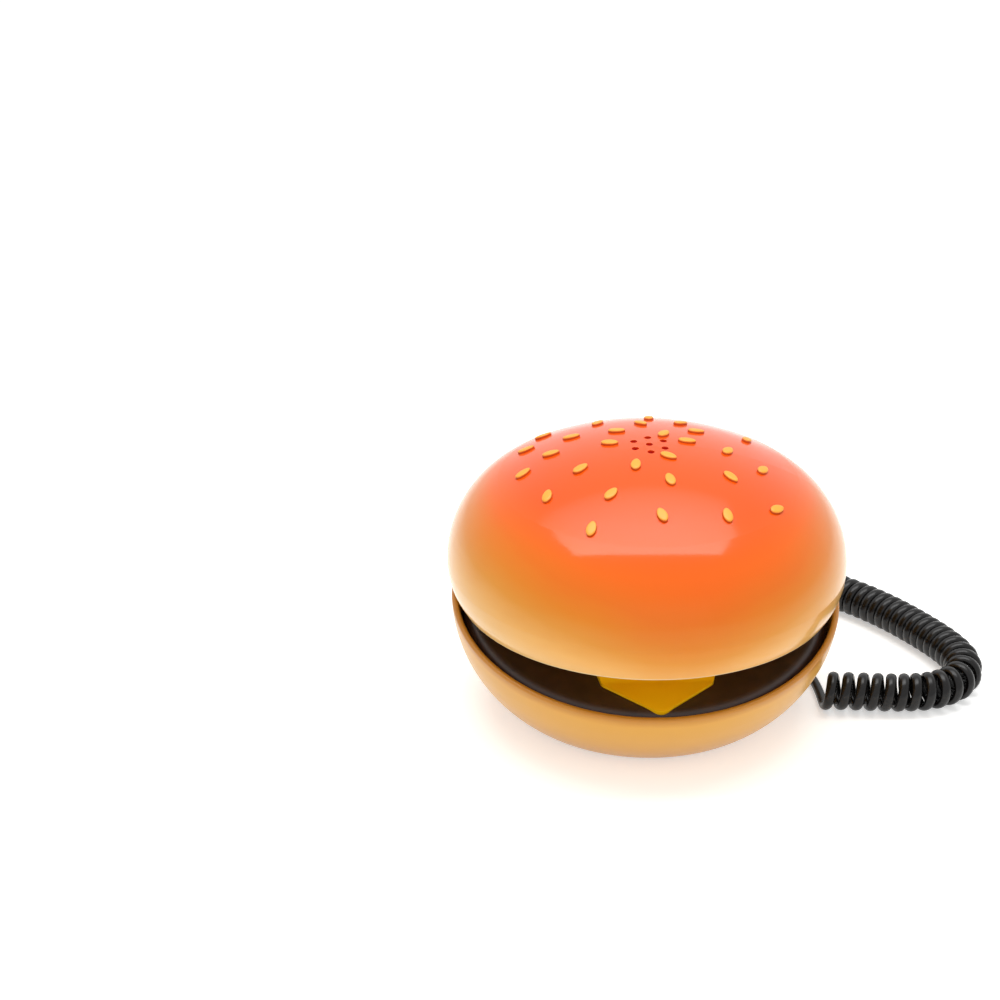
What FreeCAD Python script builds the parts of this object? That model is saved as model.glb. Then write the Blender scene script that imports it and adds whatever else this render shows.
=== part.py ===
import FreeCAD, Part
import math
import os
from FreeCAD import Placement, Rotation, Vector

# A hamburger-shaped flip telephone. Millimetres; +Z up, the front is -Y, the hinge is at +Y.

# Buns
FOOT_STAND = 0.6            # the feet hold the bowl this far off the table
BOWL_RIM_Z = 38.4           # top of the bottom bun at the back
BOWL_RADIUS = 61.2          # bottom bun at its rim
BOWL_FLAT_RADIUS = 37.2     # flat underside
BOWL_EDGE_RADIUS = 9.5      # round between underside and side
BOWL_WALL = 2.0
RIM_ROUND = 0.8             # softened rim edges
PARTING_GAP = 0.6           # between the rim and the lid's edge
LID_RADIUS = 62.5           # top bun at its widest
LID_EDGE_IN = 3.5           # lower edge inside the widest circle
LID_LIP_RISE = 11.0         # widest circle above the lower edge
LID_CROWN_RISE = 38.6       # crown above the widest circle
LID_SHOULDER_RADIUS = 30.4  # round between side and crown
LID_WALL = 2.4
LID_EDGE_ROUND = 0.5
CROWN_HOLE_RADIUS = 1.1
CROWN_RING_RADIUS = 5.3
CROWN_RING_COUNT = 6

# Mouth of the bottom bun
MOUTH_ANGLE = 11.8          # slope of the rim towards the front
MOUTH_START_Y = 4.0         # where the slope begins
MOUTH_BLEND = 40.0          # round between level and sloping rim

# Cheese deck
DECK_DROP = 0.6             # deck below the rim
DECK_SHEET = 1.6
DECK_GAP = 0.4              # round the deck's edge
DECK_ANGLE = 10.2           # slope of the front part
DECK_BLEND = 40.0
DIP_DEPTH = 1.1             # the corner dips by this
DIP_LENGTH = 5.0
DIP_START_Y = -37.5
CORNER_HALF_WIDTH = 18.2    # where the dip starts
CORNER_JOG = 1.4            # the sides step in by this over the dip
CORNER_TIP_Y = -56.0        # sharp tip, before rounding
CORNER_TIP_ROUND = 4.5
CORNER_JOG_ROUND = 3.0

# Patty
PATTY_RADIUS = 57.4
PATTY_THICK = 6.0
PATTY_GAP = 0.35            # to the bowl
PATTY_SEAT_GAP = 0.05       # under the cheese
PATTY_EDGE_ROUND = 3.4
PATTY_LAP = 8.0             # how far it reaches under the cheese

# Keypad, laid out on a tilted pocket floor
POCKET_CENTRE_Y = 9.7
POCKET_FLOOR_Z = 30.35      # at the pocket's centre
POCKET_TILT = 4.4
POCKET_HALF_WIDTH = 26.0
POCKET_HALF_LENGTH = 29.3
POCKET_CORNER = 3.0
POCKET_FLOOR = 1.8
POCKET_WALL = 1.8
KEY_COLUMNS = 3
KEY_ROWS = 5
KEY_PITCH_X = 15.2
KEY_PITCH_Y = 11.43
KEY_WIDTH = 8.8
KEY_DEPTH = 8.2
KEY_RISE = 4.8              # above the pocket floor
KEY_DRAFT = 0.35            # the cap narrows by this on each side
KEY_CORNER = 1.2
KEY_TOP_ROUND = 0.4
KEY_GAP = 0.35              # round the cap in its hole
KEY_FLANGE_LAP = 0.55
KEY_FLANGE = 1.0
KEY_SEAT_GAP = 0.2          # flange below the floor
KEY_STEM_RADIUS = 2.0
KEY_STEM = 0.8
KEY_TRAVEL = 1.2
KEY_NAMES = ["1", "2", "3", "4", "5", "6", "7", "8", "9", "star", "0", "hash", "flash", "redial", "mute"]
MAT_GAP = 0.15              # left under a pressed key
MAT_SHEET = 1.0
MAT_DOME_RISE = 1.05
MAT_DOME_RADIUS = 3.2
MAT_HALF_WIDTH = 20.8
MAT_HALF_LENGTH = 28.4

# Main board under the mat
BOARD_THICK = 1.6
BOARD_HALF_WIDTH = 26.8
BOARD_HALF_LENGTH = 30.6
BOARD_TONGUE_HALF_WIDTH = 11.0
BOARD_TONGUE_END = 44.0
BOARD_POST_X = 24.2
BOARD_POST_Y = 27.3
BOARD_POST_RADIUS = 2.6
BOARD_SCREW_RADIUS = 1.1
BOARD_SCREW_HEAD_RADIUS = 2.2
BOARD_SCREW_HEAD = 1.4
BOARD_SCREW_LENGTH = 6.0

# Function strip, hook button and switch
STRIP_WIDTH = 50.0
STRIP_DEPTH = 6.0
STRIP_Y = 43.6
STRIP_THICK = 0.8
STRIP_RECESS = 0.5
STRIP_GAP = 0.15
HOOK_WIDTH = 18.0
HOOK_DEPTH = 4.8
HOOK_Y = 50.7
HOOK_SHOW = 1.6             # above the deck with the lid shut
HOOK_TRAVEL = 3.0
HOOK_GAP = 0.25
HOOK_FLANGE = 1.2
HOOK_FLANGE_LAP = 0.8
HOOK_ROUND = 0.6
SWITCH_WIDTH = 12.8
SWITCH_DEPTH = 6.0
SWITCH_GAP = 0.3            # between button and switch with the lid shut

# Microphone
MIC_Y = -28.4
MIC_SLOT_WIDTH = 2.0
MIC_SLOT_LENGTH = 7.0
MIC_SLOT_PITCH = 3.5
MIC_RADIUS = 4.9
MIC_HEIGHT = 5.5
MIC_GAP = 0.2
MIC_COLLAR_WALL = 1.4
MIC_COLLAR_HEIGHT = 4.5

# Screws between deck and bowl, and feet
BASE_POST_X = 31.5
BASE_POST_YS = [18.0, -4.0]
BASE_POST_RADIUS = 4.0
BASE_SEAT_Z = 12.0          # deck posts stand on the bowl's bosses here
BASE_BOSS_RADIUS = 4.6
BASE_SCREW_RADIUS = 1.45
BASE_SCREW_HEAD_RADIUS = 2.9
BASE_SCREW_HEAD = 2.4
BASE_SCREW_BITE = 10.0      # into the post
BASE_BORE_RADIUS = 3.3
BASE_BORE_Z = 7.5
SCREW_GAP = 0.05
FOOT_X = 22.0
FOOT_Y = 24.0
FOOT_RADIUS = 5.0
FOOT_SINK = 1.0
FOOT_GAP = 0.2

# Hinge
HINGE_Y = 59.0
HINGE_Z = 38.6
KNUCKLE_RADIUS = 3.2
PIN_RADIUS = 1.5
PIN_FIXED_GAP = 0.02
PIN_RUN_GAP = 0.06
KNUCKLE_EDGES = [2.7, 3.0, 13.0, 13.3, 21.8]  # middle base, lid from and to, outer base from and to
HINGE_NOTCH_HALF = 22.5
LID_NOTCH_Z = 43.6
BOWL_NOTCH_Z = 33.0
HINGE_CLEAR = 0.6           # round the knuckles

# Lid cover and what it carries
COVER_SINK = 1.0            # above the lid's edge
COVER_SHEET = 1.8
COVER_GAP = 0.2             # round the cover, in the lid
MOUND_Y = -27.0
MOUND_RADIUS = 19.0
MOUND_FLAT_RADIUS = 12.0
MOUND_DEPTH = 5.0
EAR_HOLE_RADIUS = 0.9
EAR_RINGS = [4.2, 8.0]
EAR_RING_COUNT = 8
RECEIVER_RADIUS = 15.0
RECEIVER_HEIGHT = 8.0
RECEIVER_GAP = 0.25
RECEIVER_SINK = 3.2         # below the cover's upper face
COLLAR_WALL = 3.6
COLLAR_HEIGHT = 4.4
PLATE_WIDTH = 54.6
PLATE_DEPTH = 12.5
PLATE_Y = 35.0
PLATE_THICK = 0.8
PLATE_RECESS = 0.5
PLATE_GAP = 0.2
LID_SCREW_X = 18.0
LID_SCREW_SEAT = 5.0        # height of the cover's bosses
LID_SCREW_BOSS_RADIUS = 4.2
LID_SCREW_RADIUS = 1.4
LID_SCREW_HEAD_RADIUS = 2.7
LID_SCREW_HEAD = 1.8
LID_SCREW_BITE = 9.0
LID_BORE_RADIUS = 3.0
LID_BORE_DEPTH = 2.6
LID_BOSS_RADIUS = 3.6
LEAF_THICK = 1.6
LEAF_FRONT_Y = 44.0
RINGER_RADIUS = 12.0
RINGER_HEIGHT = 4.0
RINGER_GAP = 0.25
RINGER_BELOW_CROWN = 5.5
RINGER_COLLAR_WALL = 1.6
RINGER_COLLAR_HEIGHT = 9.0

# Sesame seeds: where each lies seen from above, and which way it points
SEED_LENGTH = 5.6
SEED_WIDTH = 3.9
SEED_RISE = 0.9
SEED_TIP_RADIUS = 0.9
SEED_EDGE_ROUND = 0.35
SEED_SPOTS = [
    (-38, -2, 25), (-32, -19, 70), (-29, 4, -5), (-36, 16, 0), (-30, 27, 10), (-22, 14, -10),
    (-21, -10, 35), (-13, 27, 60), (-8, 12, -20), (-11, 2, -20), (0, 19, -60), (3, 30, 80),
    (-5, -12, 80), (6, 9, 60), (6, -9, -35), (4, -20, 100), (-13, -25, 50), (0, -35, 105),
    (-20, -37, 70), (13, 23, 40), (13, 3, -5), (17, 14, 15), (33, 18, 70), (25, 1, 60),
    (35, -6, 60), (24, -17, -50), (20, -33, 100), (37, -25, 40), (0, 56, 80), (20, 52, 30),
    (-20, 52, -20), (37, 42, 10), (-37, 42, 50),
]

# Cord
WIRE_RADIUS = 1.4
CURL_RADIUS = 4.85          # of the wire's middle
CURL_PITCH = 3.4            # on the inside of a bend too
CURL_STRETCH = 1.5          # added to the pitch at the phone's end
CURL_STRETCH_TURNS = 6.0
FLOOR_GAP = 0.05
CORD_END_RUN = 8.0          # straight wire beside the coil and the plug
GLAND_AZIMUTH = 52.0        # from +X towards +Y
GLAND_Z = 11.0
GLAND_FACE = 52.0           # flat face for the boot, from the middle
GLAND_WALL = 6.5
GLAND_HOLE_RADIUS = 3.1
GLAND_GAP = 0.1
BOOT_FLANGE_RADIUS = 4.4
BOOT_FLANGE = 1.5
BOOT_INNER_RADIUS = 3.7     # flange inside the bowl
BOOT_LENGTH = 8.0
BOOT_ROOT_RADIUS = 3.5
BOOT_TIP_RADIUS = 2.2
BOOT_RIBS = 4
BOOT_GROOVE = 0.5
COIL_ROUTE = [
    (57, -11), (67, -11.8), (79, -13.4), (91.5, -13), (102, -6.5), (105.2, 4.5), (102, 15.5), (95.5, 27.5),
    (87, 40.5), (76.5, 52.5), (63, 63.5), (47, 73), (30, 79.5), (12, 82.5), (-6, 83),
]
LEAD_ROUTE = [(43, 54.9, 10.2), (51.2, 55.6, 7.5), (57.6, 50.6, 4), (58.8, 42, 1.9), (57.5, 31.5, 1.5),
              (55.5, 20.5, 1.5), (54.8, 10, 1.5)]
TAIL_ROUTE = [(-13, 100, 1.9), (-20.5, 102.4, 2.7)]
PLUG_LENGTH = 12.0
PLUG_WIDTH = 9.6
PLUG_HEIGHT = 6.6
PLUG_BACK = (-36, 98.4)     # middle of the end that the wire enters
PLUG_HEADING = 195.0
PLUG_CONTACTS = 4
PLUG_CONTACT_PITCH = 1.02
PLUG_CONTACT_THICK = 0.35

UP = Vector(0, 0, 1)
ORIGIN = Vector(0, 0, 0)
LID_EDGE_Z = BOWL_RIM_Z + PARTING_GAP
LID_EDGE_RADIUS = LID_RADIUS - LID_EDGE_IN
COVER_RADIUS = LID_EDGE_RADIUS - LID_WALL - COVER_GAP
EQUATOR_Z = LID_EDGE_Z + LID_LIP_RISE
CROWN_Z = EQUATOR_Z + LID_CROWN_RISE
DECK_Z = BOWL_RIM_Z - DECK_DROP
COVER_Z = LID_EDGE_Z + COVER_SINK
COVER_TOP_Z = COVER_Z + COVER_SHEET
FAR = 90.0


def box(x0, x1, y0, y1, z0, z1):
    return Part.makeBox(x1 - x0, y1 - y0, z1 - z0, Vector(x0, y0, z0))


def rod(radius, base, direction, length):
    return Part.makeCylinder(radius, length, base, direction)


def grown(face, direction):
    """The solid that a flat face sweeps along direction."""
    solid = face.extrude(direction)
    if solid.Volume < 0:
        solid.reverse()
    return solid


def post(radius, x, y, z0, z1):
    return Part.makeCylinder(radius, z1 - z0, Vector(x, y, z0))


def arc_from(start, tangent, end):
    """An arc that leaves start along tangent and ends at end."""
    chord = end - start
    along = Vector(chord)
    along.normalize()
    cosine = max(-1.0, min(1.0, tangent.dot(along)))
    side = tangent - along * cosine
    if side.Length < 1e-7:
        return Part.makeLine(start, end)
    side.normalize()
    sagitta = chord.Length / 2 * math.tan(math.acos(cosine) / 2)
    return Part.Arc(start, (start + end) * 0.5 + side * sagitta, end).toShape()


def round_rect(half_x, half_y, corner, z):
    """A flat rounded rectangle as a wire."""
    h = half_x - corner
    k = half_y - corner
    s = corner * (1 - math.sqrt(0.5))
    pts = [(-h, -half_y), (h, -half_y), (half_x, -k), (half_x, k), (h, half_y), (-h, half_y),
           (-half_x, k), (-half_x, -k)]
    mids = [None, (half_x - s, -half_y + s), None, (half_x - s, half_y - s), None,
            (-half_x + s, half_y - s), None, (-half_x + s, -half_y + s)]
    edges = []
    for i, mid in enumerate(mids):
        a = Vector(pts[i][0], pts[i][1], z)
        b = Vector(pts[(i + 1) % 8][0], pts[(i + 1) % 8][1], z)
        if mid is None:
            edges.append(Part.makeLine(a, b))
        else:
            edges.append(Part.Arc(a, Vector(mid[0], mid[1], z), b).toShape())
    return Part.Wire(edges)


def rounded_block(half_x, half_y, corner, z0, z1):
    return grown(Part.Face(round_rect(half_x, half_y, corner, z0)), Vector(0, 0, z1 - z0))


def spun(edges, centre=ORIGIN):
    """A solid spun about the upright line through centre from edges in the X-Z plane."""
    face = Part.Face(Part.Wire(edges))
    solid = face.revolve(ORIGIN, UP, 360)
    solid.translate(centre)
    return solid


def on_circle(cx, cz, radius, angle):
    return Vector(cx + radius * math.cos(angle), 0, cz + radius * math.sin(angle))


def arc_on(cx, cz, radius, a0, a1):
    return Part.Arc(on_circle(cx, cz, radius, a0), on_circle(cx, cz, radius, (a0 + a1) / 2),
                    on_circle(cx, cz, radius, a1)).toShape()


def one_solid(shape):
    """The shape's only solid, with split faces joined."""
    shape = shape.removeSplitter()
    return shape.Solids[0] if len(shape.Solids) == 1 else shape


def lid_numbers():
    """Radii and centres of the three arcs of the top bun's outline."""
    w = LID_RADIUS - LID_EDGE_RADIUS
    lip = (w * w + LID_LIP_RISE ** 2) / (2 * w)
    a = LID_SHOULDER_RADIUS
    crown = ((LID_RADIUS - a) ** 2 + LID_CROWN_RISE ** 2 - a * a) / (2 * (LID_CROWN_RISE - a))
    crown_z = CROWN_Z - crown
    turn = math.atan2(EQUATOR_Z - crown_z, LID_RADIUS - a)
    return lip, a, crown, crown_z, turn


def lid_solid(inset):
    """The solid dome, taken in by inset, flat at the lid's edge."""
    lip, a, crown, crown_z, turn = lid_numbers()
    lip_x = LID_RADIUS - lip
    start = -math.asin(LID_LIP_RISE / (lip - inset))
    low = on_circle(lip_x, EQUATOR_Z, lip - inset, start)
    top = Vector(0, 0, CROWN_Z - inset)
    edges = [
        Part.makeLine(Vector(0, 0, LID_EDGE_Z), low),
        arc_on(lip_x, EQUATOR_Z, lip - inset, start, 0),
        arc_on(LID_RADIUS - a, EQUATOR_Z, a - inset, 0, turn),
        arc_on(0, crown_z, crown - inset, turn, math.pi / 2),
        Part.makeLine(top, Vector(0, 0, LID_EDGE_Z)),
    ]
    return spun(edges)


def dome_spot(x, y):
    """The point of the dome above (x, y), and its outward direction."""
    lip, a, crown, crown_z, turn = lid_numbers()
    r = math.hypot(x, y)
    if r <= crown * math.cos(turn):
        z = crown_z + math.sqrt(crown * crown - r * r)
        out = Vector(x, y, z - crown_z)
    else:
        reach = r - (LID_RADIUS - a)
        rise = math.sqrt(a * a - reach * reach)
        z = EQUATOR_Z + rise
        out = Vector(x / r * reach, y / r * reach, rise)
    out.normalize()
    return Vector(x, y, z), out


def bowl_numbers():
    """Radius of the bowl's side arc and the angle where it meets the bottom edge's round."""
    w = BOWL_RADIUS - BOWL_FLAT_RADIUS
    h = BOWL_RIM_Z - FOOT_STAND
    e = BOWL_EDGE_RADIUS
    side = (w * w + (h - e) ** 2 - e * e) / (2 * (w - e))
    turn = math.atan2(FOOT_STAND + e - BOWL_RIM_Z, BOWL_FLAT_RADIUS - (BOWL_RADIUS - side))
    return side, turn


def bowl_solid(inset, rise=0.0):
    """The solid bowl, taken in by inset, with a straight collar of the height rise on its rim."""
    side, turn = bowl_numbers()
    e = BOWL_EDGE_RADIUS
    side_x = BOWL_RADIUS - side
    floor = FOOT_STAND + inset
    rim = Vector(BOWL_RADIUS - inset, 0, BOWL_RIM_Z)
    edges = [
        Part.makeLine(Vector(0, 0, floor), Vector(BOWL_FLAT_RADIUS, 0, floor)),
        arc_on(BOWL_FLAT_RADIUS, FOOT_STAND + e, e - inset, -math.pi / 2, turn),
        arc_on(side_x, BOWL_RIM_Z, side - inset, turn, 0),
    ]
    top = Vector(0, 0, BOWL_RIM_Z + rise)
    if rise > 0:
        edges.append(Part.makeLine(rim, rim + Vector(0, 0, rise)))
        rim = rim + Vector(0, 0, rise)
    edges.append(Part.makeLine(rim, top))
    edges.append(Part.makeLine(top, Vector(0, 0, floor)))
    return spun(edges)


def sloped_edges(level, start_y, angle, blend):
    """A side line, level at the back and sloping down to the front, with a round between."""
    t = math.radians(angle)
    reach = blend * math.tan(t / 2)
    down = Vector(0, -math.cos(t), -math.sin(t))
    corner = Vector(0, start_y, level)
    a = corner + Vector(0, reach, 0)
    b = corner + down * reach
    return [Part.makeLine(Vector(0, FAR, level), a), arc_from(a, Vector(0, -1, 0), b)], b, down


def below(edges):
    """Everything below a side line, as a wide solid."""
    first = edges[0].Vertexes[0].Point
    last = edges[-1].Vertexes[-1].Point
    low = -10.0
    loop = edges + [
        Part.makeLine(last, Vector(0, last.y, low)),
        Part.makeLine(Vector(0, last.y, low), Vector(0, first.y, low)),
        Part.makeLine(Vector(0, first.y, low), first),
    ]
    face = Part.Face(Part.Wire(loop))
    face.translate(Vector(-FAR, 0, 0))
    return grown(face, Vector(2 * FAR, 0, 0))


def below_rim():
    edges, b, down = sloped_edges(BOWL_RIM_Z, MOUTH_START_Y, MOUTH_ANGLE, MOUTH_BLEND)
    edges.append(Part.makeLine(b, b + down * FAR))
    return below(edges)


def below_deck(drop):
    """Everything below the deck's top face lowered by drop."""
    edges, b, down = sloped_edges(DECK_Z - drop, MOUTH_START_Y, DECK_ANGLE, DECK_BLEND)
    start = b + down * ((b.y - DIP_START_Y) / -down.y)
    inward = Vector(0, -down.z, down.y)
    if inward.z > 0:
        inward = inward * -1
    middle = start + down * (DIP_LENGTH / 2) + inward * (DIP_DEPTH / 2)
    end = start + down * DIP_LENGTH + inward * DIP_DEPTH
    back = arc_from(end, down * -1, middle)
    turned = Part.Arc(middle, back.valueAt((back.FirstParameter + back.LastParameter) / 2), end).toShape()
    edges.append(Part.makeLine(b, start))
    edges.append(arc_from(start, down, middle))
    edges.append(turned)
    edges.append(Part.makeLine(end, end + down * FAR))
    return below(edges)


def deck_height(y):
    """The deck's top face at y, for y behind the dip."""
    if y >= MOUTH_START_Y:
        return DECK_Z
    return DECK_Z - math.tan(math.radians(DECK_ANGLE)) * (MOUTH_START_Y - y)


def deck_radius():
    return BOWL_RADIUS - BOWL_WALL - DECK_GAP


def deck_outline(grow=0.0):
    """The deck seen from above as a tall prism: round at the back, a square corner at the front."""
    r = deck_radius() + grow
    side = math.sqrt(r * r - MOUTH_START_Y ** 2)
    dip_end = DIP_START_Y - DIP_LENGTH
    pts = [(side, MOUTH_START_Y), (CORNER_HALF_WIDTH + grow, DIP_START_Y),
           (CORNER_HALF_WIDTH - CORNER_JOG + grow, dip_end), (0, CORNER_TIP_Y - grow)]
    right = [Vector(x, y, 0) for x, y in pts]
    left = [Vector(-p.x, p.y, 0) for p in right[:-1]]
    line = right + left[::-1]
    edges = [Part.makeLine(p, q) for p, q in zip(line, line[1:])]
    edges.append(Part.Arc(left[0], Vector(0, r, 0), right[0]).toShape())
    prism = grown(Part.Face(Part.Wire(edges)), Vector(0, 0, FAR))
    upright = [e for e in prism.Edges if abs(e.tangentAt(e.FirstParameter).z) > 0.99]
    tip = [e for e in upright if e.Vertexes[0].Point.y < dip_end - 1]
    prism = prism.makeFillet(CORNER_TIP_ROUND, tip)
    upright = [e for e in prism.Edges if abs(e.tangentAt(e.FirstParameter).z) > 0.99]
    jog = [e for e in upright if abs(e.Vertexes[0].Point.y - (DIP_START_Y + dip_end) / 2) < DIP_LENGTH / 2 + 0.1]
    return prism.makeFillet(min(CORNER_JOG_ROUND, DIP_LENGTH * 0.55), jog)


def on_pocket(shape):
    """Moves a shape from the keypad's own frame to the telephone."""
    place = Placement(Vector(0, POCKET_CENTRE_Y, POCKET_FLOOR_Z), Rotation(Vector(1, 0, 0), POCKET_TILT))
    moved = shape.copy()
    moved.Placement = place.multiply(shape.Placement)
    return moved


def key_spots():
    """Middle of each key in the keypad's frame, from the back row to the front row."""
    spots = []
    for row in range(KEY_ROWS):
        for column in range(KEY_COLUMNS):
            x = (column - (KEY_COLUMNS - 1) / 2) * KEY_PITCH_X
            y = ((KEY_ROWS - 1) / 2 - row) * KEY_PITCH_Y
            spots.append((x, y))
    return spots


def board_levels():
    """Heights in the keypad's frame: bottom of a key's stem, top of the mat's sheet, top of the board."""
    flange_top = -POCKET_FLOOR - KEY_SEAT_GAP
    stem = flange_top - KEY_FLANGE - KEY_STEM
    dome_top = stem - KEY_TRAVEL - MAT_GAP
    sheet_top = dome_top - MAT_DOME_RISE
    return stem, sheet_top, sheet_top - MAT_SHEET


def make_key():
    flange_top = -POCKET_FLOOR - KEY_SEAT_GAP
    stem, sheet_top, board_top = board_levels()
    hx = KEY_WIDTH / 2
    hy = KEY_DEPTH / 2
    low = round_rect(hx, hy, KEY_CORNER, flange_top)
    high = round_rect(hx - KEY_DRAFT, hy - KEY_DRAFT, KEY_CORNER, KEY_RISE)
    cap = Part.makeLoft([low, high], True, True)
    rim = [e for e in cap.Edges if all(abs(v.Point.z - KEY_RISE) < 1e-6 for v in e.Vertexes)]
    cap = cap.makeFillet(KEY_TOP_ROUND, rim)
    lap = KEY_GAP + KEY_FLANGE_LAP
    flange = rounded_block(hx + lap, hy + lap, KEY_CORNER, flange_top - KEY_FLANGE, flange_top)
    foot = post(KEY_STEM_RADIUS, 0, 0, stem, flange_top - KEY_FLANGE)
    return one_solid(cap.fuse([flange, foot]))


def make_key_mat():
    stem, sheet_top, board_top = board_levels()
    mat = rounded_block(MAT_HALF_WIDTH, MAT_HALF_LENGTH, POCKET_CORNER, board_top, sheet_top)
    domes = []
    for x, y in key_spots():
        domes.append(Part.makeCone(MAT_DOME_RADIUS, MAT_DOME_RADIUS * 0.7, MAT_DOME_RISE, Vector(x, y, sheet_top)))
    return on_pocket(one_solid(mat.fuse(domes)))


def board_post_spots():
    return [(sx * BOARD_POST_X, sy * BOARD_POST_Y) for sx in (-1, 1) for sy in (-1, 1)]


def make_main_board():
    stem, sheet_top, top = board_levels()
    board = rounded_block(BOARD_HALF_WIDTH, BOARD_HALF_LENGTH, POCKET_CORNER, top - BOARD_THICK, top)
    w = BOARD_TONGUE_HALF_WIDTH
    board = board.fuse(box(-w, w, 0, BOARD_TONGUE_END, top - BOARD_THICK, top))
    holes = []
    for x, y in board_post_spots():
        holes.append(post(BOARD_SCREW_RADIUS + SCREW_GAP, x, y, top - BOARD_THICK - 1, top + 1))
    return on_pocket(one_solid(board.cut(holes)))


def make_board_screws():
    stem, sheet_top, top = board_levels()
    low = top - BOARD_THICK
    screws = []
    for x, y in board_post_spots():
        head = post(BOARD_SCREW_HEAD_RADIUS, x, y, low - BOARD_SCREW_HEAD, low)
        head = cross_slot(head, x, y, low - BOARD_SCREW_HEAD, BOARD_SCREW_HEAD_RADIUS)
        shank = post(BOARD_SCREW_RADIUS, x, y, low, low + BOARD_SCREW_LENGTH)
        screws.append(on_pocket(one_solid(head.fuse(shank))))
    return Part.makeCompound(screws)


def cross_slot(head, x, y, z, radius):
    """Cuts the cross recess in a screw's head that faces down at z."""
    long = radius * 0.6
    thin = radius * 0.14
    deep = radius * 0.3
    bars = [box(x - long, x + long, y - thin, y + thin, z - 1, z + deep),
            box(x - thin, x + thin, y - long, y + long, z - 1, z + deep)]
    return head.cut(bars)


def hook_levels():
    """Top of the button, top of its flange and its foot, with the lid shut."""
    top = DECK_Z + HOOK_SHOW
    flange = DECK_Z - DECK_SHEET - HOOK_TRAVEL - KEY_SEAT_GAP
    return top, flange, flange - HOOK_FLANGE


def make_hook_button():
    top, flange, foot = hook_levels()
    hx = HOOK_WIDTH / 2
    hy = HOOK_DEPTH / 2
    cap = rounded_block(hx, hy, 1.0, flange, top)
    rim = [e for e in cap.Edges if all(abs(v.Point.z - top) < 1e-6 for v in e.Vertexes)]
    cap = cap.makeFillet(HOOK_ROUND, rim)
    lap = HOOK_GAP + HOOK_FLANGE_LAP
    plate = rounded_block(hx + lap, hy + lap, 1.0, foot, flange)
    button = one_solid(cap.fuse(plate))
    button.translate(Vector(0, HOOK_Y, 0))
    return button


def make_hook_switch():
    """A switch on the board's tongue, under the hook button."""
    stem, sheet_top, board_top = board_levels()
    top, flange, foot = hook_levels()
    along = (HOOK_Y - POCKET_CENTRE_Y) / math.cos(math.radians(POCKET_TILT))
    rise = (foot - SWITCH_GAP - POCKET_FLOOR_Z - along * math.sin(math.radians(POCKET_TILT)))
    high = max(board_top + 1.5, rise - SWITCH_DEPTH * 0.08)
    body = rounded_block(SWITCH_WIDTH / 2, SWITCH_DEPTH / 2, 0.6, board_top, high)
    body.translate(Vector(0, along, 0))
    return on_pocket(body)


def mic_frame(shape):
    place = Placement(Vector(0, MIC_Y, deck_height(MIC_Y)), Rotation(Vector(1, 0, 0), DECK_ANGLE))
    moved = shape.copy()
    moved.Placement = place.multiply(shape.Placement)
    return moved


def make_microphone():
    top = -DECK_SHEET - MIC_GAP / 2
    body = post(MIC_RADIUS, 0, 0, top - MIC_HEIGHT, top)
    rim = [e for e in body.Edges if len(e.Vertexes) == 1]
    return mic_frame(body.makeFillet(0.4, rim))


def knuckle(x0, x1, radius=KNUCKLE_RADIUS):
    return rod(radius, Vector(x0, HINGE_Y, HINGE_Z), Vector(1, 0, 0), x1 - x0)


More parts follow.
